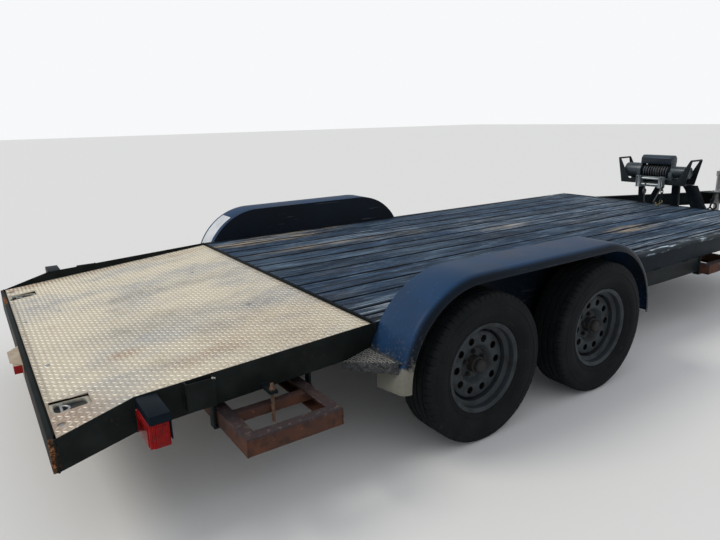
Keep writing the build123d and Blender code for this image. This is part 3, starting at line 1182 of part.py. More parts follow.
def winch_stand():
    """Tray on legs over the deck's front channel, with a carrying handle leaning out at each end."""
    x0 = TRAY_REAR_X
    x1 = TRAY_FRONT_X
    t = TRAY_THICKNESS
    lip_z = TRAY_Z + TRAY_LIP
    section = face_of((x0, lip_z), (x0, TRAY_Z), (x1, TRAY_Z), (x1, lip_z), (x1 - t, lip_z),
                      (x1 - t, TRAY_Z + t), (x0 + t, TRAY_Z + t), (x0 + t, lip_z))
    stand = along_y(section, TRAY_HALF_WIDTH, -TRAY_HALF_WIDTH, 0, 0)
    stand -= block(x0, x0 + t, -FAIRLEAD_HALF_MOUTH, FAIRLEAD_HALF_MOUTH,
                   FAIRLEAD_Z + FAIRLEAD_ROLLER_RADIUS - FAIRLEAD_ROLLER_Z, lip_z)
    leg_x = DECK_FRONT_X - STAND_LEG_INSET - STAND_LEG_THICKNESS
    for top_y, foot_y, width in STAND_LEGS:
        half = width / 2
        leg = face_of((top_y - half, TRAY_Z), (top_y + half, TRAY_Z), (foot_y + half, DECK_Z),
                      (foot_y - half, DECK_Z))
        stand += along_x(leg, leg_x, leg_x + STAND_LEG_THICKNESS, 0, 0)
    for side in (-1, 1):
        arm = face_of((side * ARM_ROOT_INNER_Y, TRAY_Z), (side * ARM_ROOT_OUTER_Y, TRAY_Z),
                      (side * (ARM_TOP_Y + ARM_TOP_HALF_WIDTH), HANDLE_Z),
                      (side * (ARM_TOP_Y - ARM_TOP_HALF_WIDTH), HANDLE_Z))
        for arm_x in (x0, x1 - t):
            stand += along_x(arm, arm_x, arm_x + t, 0, 0)
        stand += along_x(Circle(HANDLE_RADIUS), x0, x1, side * ARM_TOP_Y, HANDLE_Z)
    return stand


def winch_body():
    """Gear housing and motor at the two ends of the drum, on feet joined by tie bars."""
    inner = WINCH_INNER_Y
    box_z = WINCH_BOX_TOP_Z - WINCH_BOX_HEIGHT
    foot_z = TRAY_Z + TRAY_THICKNESS
    body = None
    for side, radius in ((-1, MOTOR_RADIUS), (1, GEAR_HOUSING_RADIUS)):
        end = side * inner
        foot_end = end + side * WINCH_FOOT_WIDTH
        piece = block(WINCH_X - WINCH_FOOT_HALF_LENGTH, WINCH_X + WINCH_FOOT_HALF_LENGTH, end, foot_end,
                      foot_z, WINCH_Z)
        piece += block(WINCH_X - WINCH_SIDE_HALF_LENGTH, WINCH_X + WINCH_SIDE_HALF_LENGTH, end,
                       end + side * WINCH_SIDE_WIDTH, WINCH_Z, box_z)
        piece += rod_y(radius, end, side * WINCH_HALF_WIDTH, WINCH_X, WINCH_Z)
        body = piece if body is None else body + piece
    for side in (-1, 1):
        body += rod_y(WINCH_TIE_RADIUS, inner, -inner, WINCH_X + side * WINCH_TIE_OFFSET,
                      WINCH_Z - WINCH_TIE_DROP)
    bore = WINCH_SHAFT_RADIUS + RUNNING_CLEARANCE
    for side in (-1, 1):
        end = side * inner
        body -= rod_y(bore, end, end + side * (WINCH_SHAFT_LENGTH + SLIDE_CLEARANCE), WINCH_X, WINCH_Z)
    return body


def winch_drum():
    """Drum with its flanges and stub shafts, wound with wire rope in side by side turns."""
    half = WINCH_DRUM_WIDTH / 2
    drum = rod_y(WINCH_DRUM_RADIUS, half, -half, WINCH_X, WINCH_Z)
    for side in (-1, 1):
        end = side * half
        drum += rod_y(WINCH_FLANGE_RADIUS, end, end - side * WINCH_DRUM_FLANGE, WINCH_X, WINCH_Z)
        drum += rod_y(WINCH_SHAFT_RADIUS, end, end + side * WINCH_SHAFT_LENGTH, WINCH_X, WINCH_Z)
    wound = half - WINCH_DRUM_FLANGE
    pitch = 2 * wound / WINCH_ROPE_TURNS
    low_radius = WINCH_ROPE_RADIUS - WINCH_ROPE_DIP
    drum += rod_y(low_radius, wound, -wound, WINCH_X, WINCH_Z)
    for index in range(WINCH_ROPE_TURNS):
        y = wound - index * pitch - WINCH_ROPE_DIP_WIDTH / 2
        drum += rod_y(WINCH_ROPE_RADIUS, y, y - pitch + WINCH_ROPE_DIP_WIDTH, WINCH_X, WINCH_Z)
    return drum


def winch_box():
    """Control box over the drum, with its top edges chamfered."""
    z1 = WINCH_BOX_TOP_Z
    z0 = z1 - WINCH_BOX_HEIGHT
    x0 = WINCH_X - WINCH_BOX_DEPTH / 2
    x1 = WINCH_X + WINCH_BOX_DEPTH / 2
    c = WINCH_BOX_CHAMFER
    section = face_of((x0, z0), (x1, z0), (x1, z1 - c), (x1 - c, z1), (x0 + c, z1), (x0, z1 - c))
    return along_y(section, WINCH_BOX_WIDTH / 2, -WINCH_BOX_WIDTH / 2, 0, 0)


def fairlead():
    """Roller fairlead behind the tray: two upright and two level rollers in a plate frame."""
    x1 = TRAY_REAR_X
    plate_x = x1 - FAIRLEAD_PLATE
    z = FAIRLEAD_Z
    low = z - FAIRLEAD_HALF_HEIGHT
    high = z + FAIRLEAD_HALF_HEIGHT
    end = FAIRLEAD_HALF_LENGTH
    mouth = FAIRLEAD_ROLLER_Z - FAIRLEAD_ROLLER_RADIUS
    inner = FAIRLEAD_POST_Y - FAIRLEAD_POST_RADIUS
    frame = block(plate_x, x1, -end, end, low, high)
    frame -= block(plate_x, x1, -FAIRLEAD_HALF_MOUTH, FAIRLEAD_HALF_MOUTH, z - mouth, z + mouth)
    for side in (-1, 1):
        cheek_y = side * (end - FAIRLEAD_PLATE)
        frame += block(plate_x - FAIRLEAD_CHEEK_WIDTH, plate_x, cheek_y, side * end, low, high)
        frame += rod_z(FAIRLEAD_POST_RADIUS, low, high, x1 - FAIRLEAD_POST_X, side * FAIRLEAD_POST_Y)
        frame += block(x1 - FAIRLEAD_REACH, x1, side * inner, side * end, low - FAIRLEAD_CAP, low)
        frame += block(x1 - FAIRLEAD_REACH, x1, side * inner, side * end, high, high + FAIRLEAD_CAP)
        frame += rod_y(FAIRLEAD_ROLLER_RADIUS, end - FAIRLEAD_CAP, FAIRLEAD_CAP - end,
                       x1 - FAIRLEAD_ROLLER_X, z + side * FAIRLEAD_ROLLER_Z)
    return frame


def winch_hook():
    """End of the winch rope out over the lower roller, with the ring that it ends in."""
    off_roller = FAIRLEAD_ROLLER_RADIUS + ROPE_RADIUS + RUNNING_CLEARANCE
    x = TRAY_REAR_X - FAIRLEAD_ROLLER_X - off_roller
    z = FAIRLEAD_Z - FAIRLEAD_ROLLER_Z + off_roller
    ring_z = FAIRLEAD_Z - HOOK_RING_DROP
    hanging = rod_z(ROPE_RADIUS, ring_z + HOOK_RING_RADIUS, z, x, ROPE_Y)
    inside = Pos(x, ROPE_Y, z) * Rot(0, 90, 0) * extrude(Circle(ROPE_RADIUS), ROPE_INSIDE)
    joint = Pos(x, ROPE_Y, z) * Sphere(ROPE_RADIUS)
    ring = Pos(x, ROPE_Y, ring_z) * Rot(90, 0, 0) * Torus(HOOK_RING_RADIUS, HOOK_RING_BAR_RADIUS)
    return hanging + joint + inside + ring


def wheels():
    """Tyre, rim and hub of each of the four wheels."""
    shapes = {"tyre": turned(tyre_section()), "rim": rim(), "hub": hub()}
    for end, x in AXLE_XS.items():
        for name, shape in shapes.items():
            right = wheel_place(x) * shape
            save(f"{name}_{end}_right", right)
            save(f"{name}_{end}_left", other_side(right))


def both(part):
    """A piece drawn on the right and its mirror image on the left."""
    return part, other_side(part)


def pin_y(end_y):
    """Place of a drop pin: just outboard of the ramp's first rung."""
    return end_y + RAMP_FIRST_RUNG - RAMP_PIN_RADIUS - RAMP_PIN_GAP


def ramp_carriers():
    """Two stirrups for each ramp, and the lug for the rear ramp's drop pin."""
    pieces = []
    outer_y = -FRAME_HALF_WIDTH + RAIL_FLANGE / 2
    for x, end_y in ((RAMP_REAR_X, RAMP_REAR_END_Y), (RAMP_FRONT_X, RAMP_FRONT_END_Y)):
        pieces.append(carrier(x, outer_y, rail_underside))
        pieces.append(carrier(x, end_y + RAMP_LENGTH - CARRIER_INNER_INSET, member_underside))
    pieces.append(pin_bracket(RAMP_REAR_X, pin_y(RAMP_REAR_END_Y), -FRAME_HALF_WIDTH))
    return pieces


def main():
    os.makedirs("parts", exist_ok=True)
    save("rail_right", main_rail())
    save("rail_left", other_side(main_rail()))
    save("subrails", *both(subrail()))
    save("dovetail_rails", *both(dovetail_rail()))
    save("rear_channel", rear_channel())
    save("front_channel", end_channel(DECK_FRONT_X + RAIL_WEB, 1, RAIL_DEPTH, DECK_Z, RAIL_WEB, DECK_Z))
    save("crossmembers", nosing(), *crossmembers(), *dovetail_members())
    save("deck_planks", *planks())
    save("tread_plate", tread_plate())
    save("tie_pans", tie_pan(-1), tie_pan(1))
    save("tie_ring_right", tie_ring(-1))
    save("tie_ring_left", tie_ring(1))
    save("fender_right", fender())
    ahead = Pos(FENDER_LEFT_AHEAD, 0, 0)
    save("fender_left", ahead * other_side(fender()))
    save("side_steps", side_step(), ahead * other_side(side_step()))
    save("stake_pockets", *both(stake_pocket()))
    save("tongue_rail_right", tongue_rail())
    save("tongue_rail_left", other_side(tongue_rail()))
    save("tongue_plates", *tongue_plates())
    save("coupler", coupler())
    save("coupler_latch", coupler_latch())
    save("jack_tube", jack_tube())
    save("jack_leg", jack_leg())
    save("jack_crank", jack_crank())
    save("lamp_hoods", *both(lamp_hood()))
    save("tail_lamps", *both(tail_lamp()))
    save("centre_lamp", centre_lamp())
    for end, x in AXLE_XS.items():
        save(f"axle_{end}", axle(x))
    save("leaf_springs", *both(leaf_spring(AXLE_XS["front"])), *both(leaf_spring(AXLE_XS["rear"])))
    save("spring_clamps", *both(spring_clamp(AXLE_XS["front"])), *both(spring_clamp(AXLE_XS["rear"])))
    reach = AXLE_SPACING / 2 + SPRING_HALF_LENGTH
    save("spring_hangers", *both(hanger(reach)), *both(hanger(-reach)), *both(centre_hanger()))
    save("equalizers", *both(equalizer()))
    wheels()
    save("ramp_rear", ramp(RAMP_REAR_X, RAMP_REAR_END_Y))
    save("ramp_front", ramp(RAMP_FRONT_X, RAMP_FRONT_END_Y))
    save("ramp_pin", ramp_pin(RAMP_REAR_X, pin_y(RAMP_REAR_END_Y)))
    save("ramp_carriers", *ramp_carriers())
    save("winch_stand", winch_stand())
    save("winch_body", winch_body())
    save("winch_drum", winch_drum())
    save("winch_box", winch_box())
    save("fairlead", fairlead())
    save("winch_hook", winch_hook())


if __name__ == "__main__":
    main()
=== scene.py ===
import random
from math import atan, cos, exp, hypot, pi, radians, sin
import bmesh
import bpy
from mathutils import Matrix, Vector
from mathutils.noise import noise


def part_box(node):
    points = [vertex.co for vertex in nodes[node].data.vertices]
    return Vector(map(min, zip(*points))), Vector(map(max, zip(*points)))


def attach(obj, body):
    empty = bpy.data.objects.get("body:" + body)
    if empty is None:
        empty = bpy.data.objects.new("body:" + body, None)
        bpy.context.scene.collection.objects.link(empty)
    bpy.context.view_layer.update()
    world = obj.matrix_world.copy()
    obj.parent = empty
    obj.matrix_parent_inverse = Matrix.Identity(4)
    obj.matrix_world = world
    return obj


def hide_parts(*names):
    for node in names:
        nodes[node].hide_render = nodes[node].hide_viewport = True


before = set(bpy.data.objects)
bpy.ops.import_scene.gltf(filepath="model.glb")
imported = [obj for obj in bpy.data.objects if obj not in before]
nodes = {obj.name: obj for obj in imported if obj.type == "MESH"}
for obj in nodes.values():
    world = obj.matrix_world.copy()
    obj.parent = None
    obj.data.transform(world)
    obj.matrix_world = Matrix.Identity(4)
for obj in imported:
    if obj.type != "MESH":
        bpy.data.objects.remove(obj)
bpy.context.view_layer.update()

main_scene = bpy.context.scene
main_scene.view_settings.view_transform = "Standard"

AXLE_MIDDLE_X = -1.2735
FLOOR_HALF = 60.0
FLOOR_COLOUR = (0.80, 0.79, 0.77)
SKY_COLOUR = (0.90, 0.94, 1.0)
SKY_STRENGTH = 0.70
BACKDROP_COLOUR = (0.93, 0.94, 0.95)
LAMP_COLOUR = (1.0, 0.95, 0.86)
LAMP_POWER = 1.15
LAMP_SPREAD = 24.0
LAMP_PLACE = (-5.2, 2.4, 5.2)
LAMP_AIM = (0, 0, 300)
VIEW_LENS = 29.185
VIEW_SENSOR = 36.0
VIEW_PLACE = (-2.1959 + AXLE_MIDDLE_X, -2.9417, 1.4245)
VIEW_ACROSS = Vector((0.82498, -0.56482, -0.01974))
VIEW_UP = Vector((0.1593, 0.19889, 0.96699))
VIEW_AHEAD = Vector((0.54225, 0.80089, -0.25405))


def at(x, y, z):
    """A place measured in millimetres from the ground point midway between the axles."""
    return Vector((x / 1000 + AXLE_MIDDLE_X, y / 1000, z / 1000))


class Link:
    """A socket in a node tree. Sums of links and numbers add Math nodes to that tree."""

    def __init__(self, tree, socket=None):
        self.tree = tree
        self.socket = socket

    def node(self, kind, settings=(), inputs=(), output=0):
        """Adds a node of any type: settings first, then the values or links of its sockets.
        A list of links goes into one socket that joins them."""
        made = self.tree.nodes.new(kind)
        for name, value in dict(settings).items():
            setattr(made, name, value)
        for name, value in dict(inputs).items():
            socket = next((s for s in made.inputs if s.identifier == name), None)
            socket = socket or made.inputs[name]
            for part in value if isinstance(value, list) else [value]:
                if isinstance(part, Link):
                    self.tree.links.new(part.socket, socket)
                else:
                    socket.default_value = part
        result = next((s for s in made.outputs if s.identifier == output), None)
        return Link(self.tree, result or made.outputs[output])

    def math(self, operation, first, second=0.0):
        return self.node("ShaderNodeMath", {"operation": operation}, {"Value": first, "Value_001": second})

    def __add__(self, other):
        return self.math("ADD", self, other)

    __radd__ = __add__

    def __mul__(self, other):
        return self.math("MULTIPLY", self, other)

    __rmul__ = __mul__

    def __sub__(self, other):
        return self.math("SUBTRACT", self, other)

    def __rsub__(self, other):
        return self.math("SUBTRACT", other, self)

    def __truediv__(self, other):
        return self.math("DIVIDE", self, other)

    def __rtruediv__(self, other):
        return self.math("DIVIDE", other, self)

    def rise(self, low, high):
        """0 below low, 1 above high, and smooth in between; high may be the smaller."""
        return self.node("ShaderNodeMapRange", {"interpolation_type": "SMOOTHSTEP"},
                         {"Value": self, "From Min": low, "From Max": high})

    def below(self, other):
        return self.math("MINIMUM", self, other)

    def above(self, other):
        return self.math("MAXIMUM", self, other)


class Finish:
    """A material on the object's own coordinates, with the patterns its surface is built from."""

    def __init__(self, name, colour, rough=0.5, metal=0.0, gloss=0.5):
        self.material = bpy.data.materials.new(name)
        self.material.use_nodes = True
        self.tree = self.material.node_tree
        self.shader = self.tree.nodes["Principled BSDF"]
        self.root = Link(self.tree)
        self.place = self.root.node("ShaderNodeTexCoord", output="Object")
        self.colour = colour
        self.feed(Base_Color=(*colour, 1), Roughness=rough, Metallic=metal, Specular_IOR_Level=gloss)

    def feed(self, **sockets):
        for name, value in sockets.items():
            socket = self.shader.inputs[name.replace("_", " ")]
            if isinstance(value, Link):
                self.tree.links.new(value.socket, socket)
            else:
                socket.default_value = value

    def tint(self, under, over, amount):
        """One tone that turns into another as amount goes from 0 to 1."""
        under, over = (tone if isinstance(tone, Link) else (*tone, 1) for tone in (under, over))
        return self.root.node("ShaderNodeMix", {"data_type": "RGBA"}, {
            "Factor_Float": amount, "A_Color": under, "B_Color": over}, output="Result_Color")

    def lay(self, colour, amount):
        """Lays a colour over everything that the finish has so far."""
        self.colour = self.tint(self.colour, colour, amount)
        self.feed(Base_Color=self.colour)

    def clouds(self, scale, detail=4.0, shift=(0, 0, 0), stretch=(1, 1, 1), turn=(0, 0, 0), rough=0.55):
        moved = self.root.node("ShaderNodeMapping", inputs={
            "Vector": self.place, "Scale": stretch, "Location": shift, "Rotation": turn})
        return self.root.node("ShaderNodeTexNoise", inputs={
            "Vector": moved, "Scale": scale, "Detail": detail, "Roughness": rough}, output="Fac")

    def axis(self, letter):
        return self.root.node("ShaderNodeSeparateXYZ", inputs={"Vector": self.place}, output=letter)

    def facing(self, letter):
        normal = self.root.node("ShaderNodeNewGeometry", output="Normal")
        return self.root.node("ShaderNodeSeparateXYZ", inputs={"Vector": normal}, output=letter)

    def mark(self, name):
        return self.root.node("ShaderNodeAttribute", {"attribute_name": name}, output="Fac")

    def spread(self, colour, amount, scale, detail, low, high, *moved):
        """Lays a colour where clouds rise above low, in full above high, and gives its mask."""
        mask = self.clouds(scale, detail, *moved).rise(low, high)
        self.lay(colour, mask * amount)
        return mask

    def patch(self, centre, size, soft):
        """1 in a ragged oval at a place on the trailer, in millimetres, falling to 0 outside."""
        reach = self.place
        size = tuple(half / 1000 for half in size)
        for operation, value in (("SUBTRACT", tuple(at(*centre))), ("DIVIDE", size)):
            reach = self.root.node("ShaderNodeVectorMath", {"operation": operation},
                                   {"Vector": reach, "Vector_001": value})
        reach = self.root.node("ShaderNodeVectorMath", {"operation": "LENGTH"}, {"Vector": reach},
                               output="Value")
        ragged = reach + self.clouds(28, 5) * 0.9 - 0.45
        return ragged.rise(1.0 + soft, 1.0 - soft)

    def patches(self, places, soft):
        """The strongest of several patches, each given by its centre and its size."""
        first, *others = [self.patch(centre, size, soft) for centre, size in places]
        for other in others:
            first = first.above(other)
        return first

    def bump(self, height, depth, strength):
        self.feed(Normal=self.root.node("ShaderNodeBump", inputs={
            "Height": height, "Distance": depth, "Strength": strength}, output="Normal"))


def smooth(mesh, crease):
    """Shades a mesh smooth, except over edges that turn by more than crease degrees."""
    mesh.shade_smooth()
    mesh.set_sharp_from_angle(angle=radians(crease))
    return mesh


def poured(shape, mesh):
    """Puts the shape that was worked on into a mesh, new or old."""
    shape.to_mesh(mesh)
    shape.free()
    return mesh


def skin(name, points, faces=(), edges=(), crease=None, outward=False, weld=None, **marks):
    """A mesh from its points and faces, with a value of each mark on every point. outward turns
    the faces out, after points within the weld distance are merged."""
    mesh = bpy.data.meshes.new(name)
    mesh.from_pydata([tuple(point) for point in points], edges, faces)
    for mark, values in marks.items():
        mesh.attributes.new(mark, "FLOAT", "POINT").data.foreach_set("value", values)
    if outward:
        shape = bmesh.new()
        shape.from_mesh(mesh)
        if weld:
            bmesh.ops.remove_doubles(shape, verts=shape.verts, dist=weld)
        bmesh.ops.recalc_face_normals(shape, faces=shape.faces)
        poured(shape, mesh)
    return smooth(mesh, crease) if crease else mesh


def stood(name, data):
    """An object for the data, linked into the scene."""
    made = bpy.data.objects.new(name, data)
    main_scene.collection.objects.link(made)
    return made


corners = [(x * FLOOR_HALF, y * FLOOR_HALF, 0) for x, y in ((-1, -1), (1, -1), (1, 1), (-1, 1))]
floor = stood("floor", skin("floor", corners, [(0, 1, 2, 3)]))
floor.data.materials.append(Finish("floor_concrete", FLOOR_COLOUR, 0.9).material)

sky = bpy.data.worlds.new("sky")
main_scene.world = sky
sky.use_nodes = True
sky_link = Link(sky.node_tree)
seen, through = [sky_link.node("ShaderNodeLightPath", output=kind)
                 for kind in ("Is Camera Ray", "Is Transmission Ray")]
light, backdrop = [sky_link.node("ShaderNodeBackground", inputs={
    "Color": (*colour, 1), "Strength": strength}) for colour, strength in (
        (SKY_COLOUR, SKY_STRENGTH), (BACKDROP_COLOUR, 1.0))]
sky_mix = sky_link.node("ShaderNodeMixShader", inputs={
    "Fac": seen.above(through), "Shader": light, "Shader_001": backdrop})
sky.node_tree.links.new(sky_mix.socket, sky.node_tree.nodes["World Output"].inputs["Surface"])

lamp_data = bpy.data.lights.new("soft_lamp", "SUN")
lamp_data.energy = LAMP_POWER
lamp_data.angle = radians(LAMP_SPREAD)
lamp_data.color = LAMP_COLOUR
lamp = stood("soft_lamp", lamp_data)
lamp.location = LAMP_PLACE
lamp.rotation_euler = (at(*LAMP_AIM) - Vector(LAMP_PLACE)).to_track_quat("-Z", "Y").to_euler()

lens = bpy.data.cameras.new("viewpoint")
lens.lens = VIEW_LENS
lens.sensor_width = VIEW_SENSOR
viewpoint = stood("viewpoint", lens)
turned = Matrix((VIEW_ACROSS, VIEW_UP, -VIEW_AHEAD)).transposed().to_4x4()
viewpoint.matrix_world = Matrix.Translation(VIEW_PLACE) @ turned
main_scene.camera = viewpoint

# The steel frame: rolled channels for the side rails, sub-rails, cross members and tongue,
# welded together and sprayed satin black. Years outdoors left a film of dust, small rust
# specks and paler worn places on the top flanges.
PAINT_COLOUR = (0.0032, 0.0072, 0.0115)
UNDER_COLOUR = (0.0058, 0.0086, 0.0098)
PAINT_GLOSS = 0.05
PAINT_DUST = (0.034, 0.038, 0.040)
RUST_DARK = (0.055, 0.021, 0.010)
RUST_LIGHT = (0.22, 0.085, 0.030)
RUST_PALE = (0.46, 0.22, 0.10)
CHALK = (0.50, 0.60, 0.68)
DECK_TOP = 580.0
FLANGE_WORN = ((1380, -1034, 520), (2080, -1030, 420), (2650, -1022, 360), (-640, -1022, 150),
               (3020, 1020, 300))
WELD_DISTANCE = 2e-5
FLAT_ANGLE, HARD_ANGLE = radians(0.8), radians(28)


def frame_paint(name, dust, rust, worn=(), rusted=(), rough=0.46, colour=PAINT_COLOUR):
    """Satin black paint with dust on top, rust specks and, where asked, worn and rusted places."""
    paint = Finish(name, colour, gloss=PAINT_GLOSS)
    paint.lay([1.7 * value for value in colour], paint.clouds(9, 3).rise(0.35, 0.75))
    streaks = paint.clouds(3.2, 6, stretch=(1, 1, 3.5))
    film = (paint.facing("Z").rise(0.2, 0.95) * 0.65 + streaks.rise(0.46, 0.82) * 0.35) * dust
    paint.lay(PAINT_DUST, film)
    specks = paint.clouds(62, 6, (3, 1, 2)) * 0.75 + paint.clouds(7, 4, (1, 7, 3)) * 0.45
    specks = specks.rise(0.78 - 0.1 * rust, 0.86 - 0.1 * rust)
    tone = paint.tint(RUST_DARK, RUST_LIGHT, paint.clouds(120, 3).rise(0.5, 0.72))
    paint.lay(tone, specks * min(1.0, 0.35 + rust))
    roughness = film * 0.4 + rough + specks * 0.3
    if worn:
        places = [((x, y, DECK_TOP), (reach, 35, 20)) for x, y, reach in worn]
        scuffs = paint.clouds(42, 5, stretch=(0.16, 1, 1)).rise(0.53, 0.63)
        paint.lay(CHALK, paint.patches(places, 0.5) * (scuffs * 0.92 + 0.05))
    if rusted:
        crust = paint.patches(rusted, 0.45)
        tone = paint.tint(tone, RUST_PALE, paint.clouds(75, 4, (6, 2, 2)).rise(0.46, 0.62) * 0.75)
        paint.lay(tone, crust * 0.9)
        roughness = (roughness + crust * 0.35).below(0.95)
    paint.feed(Roughness=roughness)
    paint.bump(paint.clouds(260, 3) * 0.5 + streaks * 0.2 + specks * 0.6, 0.0007, 0.55)
    return paint


def round_edges(shape, edges, width, steps, **more):
    bmesh.ops.bevel(shape, geom=edges, offset=width, offset_type="OFFSET", segments=steps, profile=0.5,
                    affect="EDGES", clamp_overlap=True, **more)


def rounded(mesh, width, steps=2):
    """Merges a mesh's loose triangles, rounds its hard edges and shades it smooth."""
    shape = bmesh.new()
    shape.from_mesh(mesh)
    bmesh.ops.remove_doubles(shape, verts=shape.verts, dist=WELD_DISTANCE)
    bmesh.ops.dissolve_limit(shape, angle_limit=FLAT_ANGLE, verts=shape.verts, edges=shape.edges)
    if width:
        hard = [edge for edge in shape.edges
                if len(edge.link_faces) == 2 and edge.calc_face_angle() > HARD_ANGLE]
        round_edges(shape, hard, width, steps, loop_slide=True)
    return smooth(poured(shape, mesh), 38)


def add(name, mesh, finish, body="chassis", instead=()):
    """Puts a finished mesh in the scene as a piece that rides on a body."""
    piece = stood(name, mesh)
    mesh.materials.clear()
    mesh.materials.append(finish.material)
    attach(piece, body)
    if instead:
        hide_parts(*instead)
    return piece


def eased(node, finish, width, body="chassis", steps=2):
    """Stands in for a CAD node with a copy of its mesh whose edges are rounded as rolled steel's."""
    mesh = rounded(nodes[node].data.copy(), width, steps)
    return add(node + "_finished", mesh, finish, body, (node,))


rail_paint = frame_paint("rail_paint", 0.22, 0.3, worn=FLANGE_WORN)
for node in ("rail_right", "rail_left", "front_channel"):
    eased(node, rail_paint, 0.0022)
under_paint = frame_paint("underframe_paint", 0.22, 0.5, colour=UNDER_COLOUR)
for node in ("subrails", "crossmembers", "spring_hangers", "tongue_rail_right", "tongue_rail_left",
             "tongue_plates", "ramp_carriers"):
    eased(node, under_paint, 0.0014)

# The dovetail's bent rails and the channel across its end: plate and channel, cut and welded.
# The paint has burnt off at the right corner, where bare metal rusts orange, and a long scrape
# on top of the rear channel has gone the same way.
TAIL_COLOUR = (0.0085, 0.0105, 0.0098)
REAR_RUST = (((-2098, -1036, 405), (22, 9, 75)), ((-2090, 782, 463), (14, 75, 6)),
             ((-2098, 300, 350), (10, 500, 12)), ((-2098, -500, 352), (10, 300, 10)))
tail_paint = frame_paint("dovetail_paint", 0.3, 0.3, rusted=REAR_RUST, rough=0.5, colour=TAIL_COLOUR)
for node, width in (("dovetail_rails", 0.0014), ("stake_pockets", 0.0014), ("rear_channel", 0.0018)):
    eased(node, tail_paint, width)

# Weld beads, where two steel pieces meet: the seam of small overlapping ripples that a welder
# leaves, sprayed with the frame. Geometry Nodes lays the ripples along each seam.
RAIL_FACE = 1042
SUBRAIL_TOP = 453
STITCH_LENGTH, STITCH_PITCH = 60, 340
FRAME_BEAD_STEP, FRAME_BEAD_SIZE = 0.0042, 0.0048
RIPPLE_LEAST, RIPPLE_MOST = 0.72, 1.12
UPRIGHT_SEAMS = ((-837, RAIL_FACE, 455, 578), (-1830, RAIL_FACE, 409, 532), (-2080, RAIL_FACE, 348, 461),
                 (-1560, RAIL_FACE, 448, 546), (-1666, RAIL_FACE, 440, 538), (-1760, 1046, 438, 526),
                 (3195, RAIL_FACE, 455, 578), (1893, RAIL_FACE, 352, 452), (3195, 660, 456, 576))
LEVEL_SEAMS = (((-1378, -1043, 452), (-1344, -1043, 452)), ((3156, -198, 581), (3184, -198, 581)),
               ((3154, 175, 581), (3154, 125, 581)), ((3154, -204, 581), (3154, -142, 581)))
seams = []
for side in (-1, 1):
    seams += [[at(x, side * y, low), at(x, side * y, high)] for x, y, low, high in UPRIGHT_SEAMS]
    y = side * RAIL_FACE
    seams += [[at(x, y, SUBRAIL_TOP), at(x + STITCH_LENGTH, y, SUBRAIL_TOP)]
              for x in range(-700, 1800, STITCH_PITCH)]
seams += [[at(*start), at(*stop)] for start, stop in LEVEL_SEAMS]


def settled(carrier):
    """The plain mesh that an object's modifiers or bevels give; the object goes."""
    mesh = bpy.data.meshes.new_from_object(carrier.evaluated_get(bpy.context.evaluated_depsgraph_get()))
    carrier.modifiers.clear()
    bpy.data.objects.remove(carrier)
    return mesh


def grow(name, sizes, plan, finish, source=None):
    """Mesh grown by a Geometry Nodes tree. plan takes the links of the named sizes and of the
    source mesh, and gives back the geometry; the tree ends by making it real."""
    tree = bpy.data.node_groups.new(name, "GeometryNodeTree")
    kinds = {int: "Int", float: "Float", bpy.types.Object: "Object"}
    sockets = [("Geometry", "Geometry")] + [(label, kinds[type(value)]) for label, value in sizes.items()]
    keys = {label: tree.interface.new_socket(
        label, in_out="INPUT", socket_type="NodeSocket" + kind).identifier for label, kind in sockets}
    tree.interface.new_socket("Geometry", in_out="OUTPUT", socket_type="NodeSocketGeometry")
    start = tree.nodes.new("NodeGroupInput")
    shape = plan({socket.name: Link(tree, socket) for socket in start.outputs if socket.name})
    shape = shape.node("GeometryNodeRealizeInstances", inputs={"Geometry": shape})
    shape = shape.node("GeometryNodeSetMaterial", inputs={
        "Geometry": shape, "Material": finish.material})
    tree.links.new(shape.socket, tree.nodes.new("NodeGroupOutput").inputs[0])
    carrier = stood(name + "_carrier", source or bpy.data.meshes.new(name + "_start"))
    growth = carrier.modifiers.new("growth", "NODES")
    growth.node_group = tree
    for label, value in sizes.items():
        growth[keys[label]] = value
    return settled(carrier)


def line_mesh(lines):
    """Edges only, one run for each line of points."""
    points, edges = [], []
    for line in lines:
        edges += [(len(points) + i, len(points) + i + 1) for i in range(len(line) - 1)]
        points += line
    return skin("lines", points, edges=edges)


def ripples(given):
    """Squashed beads of varying size along every edge of the source mesh."""
    path = given["Geometry"].node("GeometryNodeMeshToCurve", inputs={"Mesh": given["Geometry"]})
    path = path.node("GeometryNodeResampleCurve", {"mode": "LENGTH"},
                     {"Curve": path, "Length": given["Step"]})
    bead = path.node("GeometryNodeMeshIcoSphere", inputs={"Radius": given["Size"], "Subdivisions": 2})
    grow_by = path.node("FunctionNodeRandomValue", {"data_type": "FLOAT"},
                        {"Min_001": RIPPLE_LEAST, "Max_001": RIPPLE_MOST, "Seed": given["Seed"]},
                        output="Value_001")
    return path.node("GeometryNodeInstanceOnPoints", inputs={
        "Points": path, "Instance": bead, "Scale": grow_by})


def weld(name, lines, step, size, seed, finish, slot="frame_paint", body="chassis"):
    """A bead of ripples along every line, as one piece; step and size are in metres."""
    mesh = grow(name, {"Step": step, "Size": size, "Seed": seed}, ripples, finish, line_mesh(lines))
    mesh.shade_smooth()
    add(name, mesh, finish, body)


weld("weld_beads", seams, FRAME_BEAD_STEP, FRAME_BEAD_SIZE, 7, tail_paint)


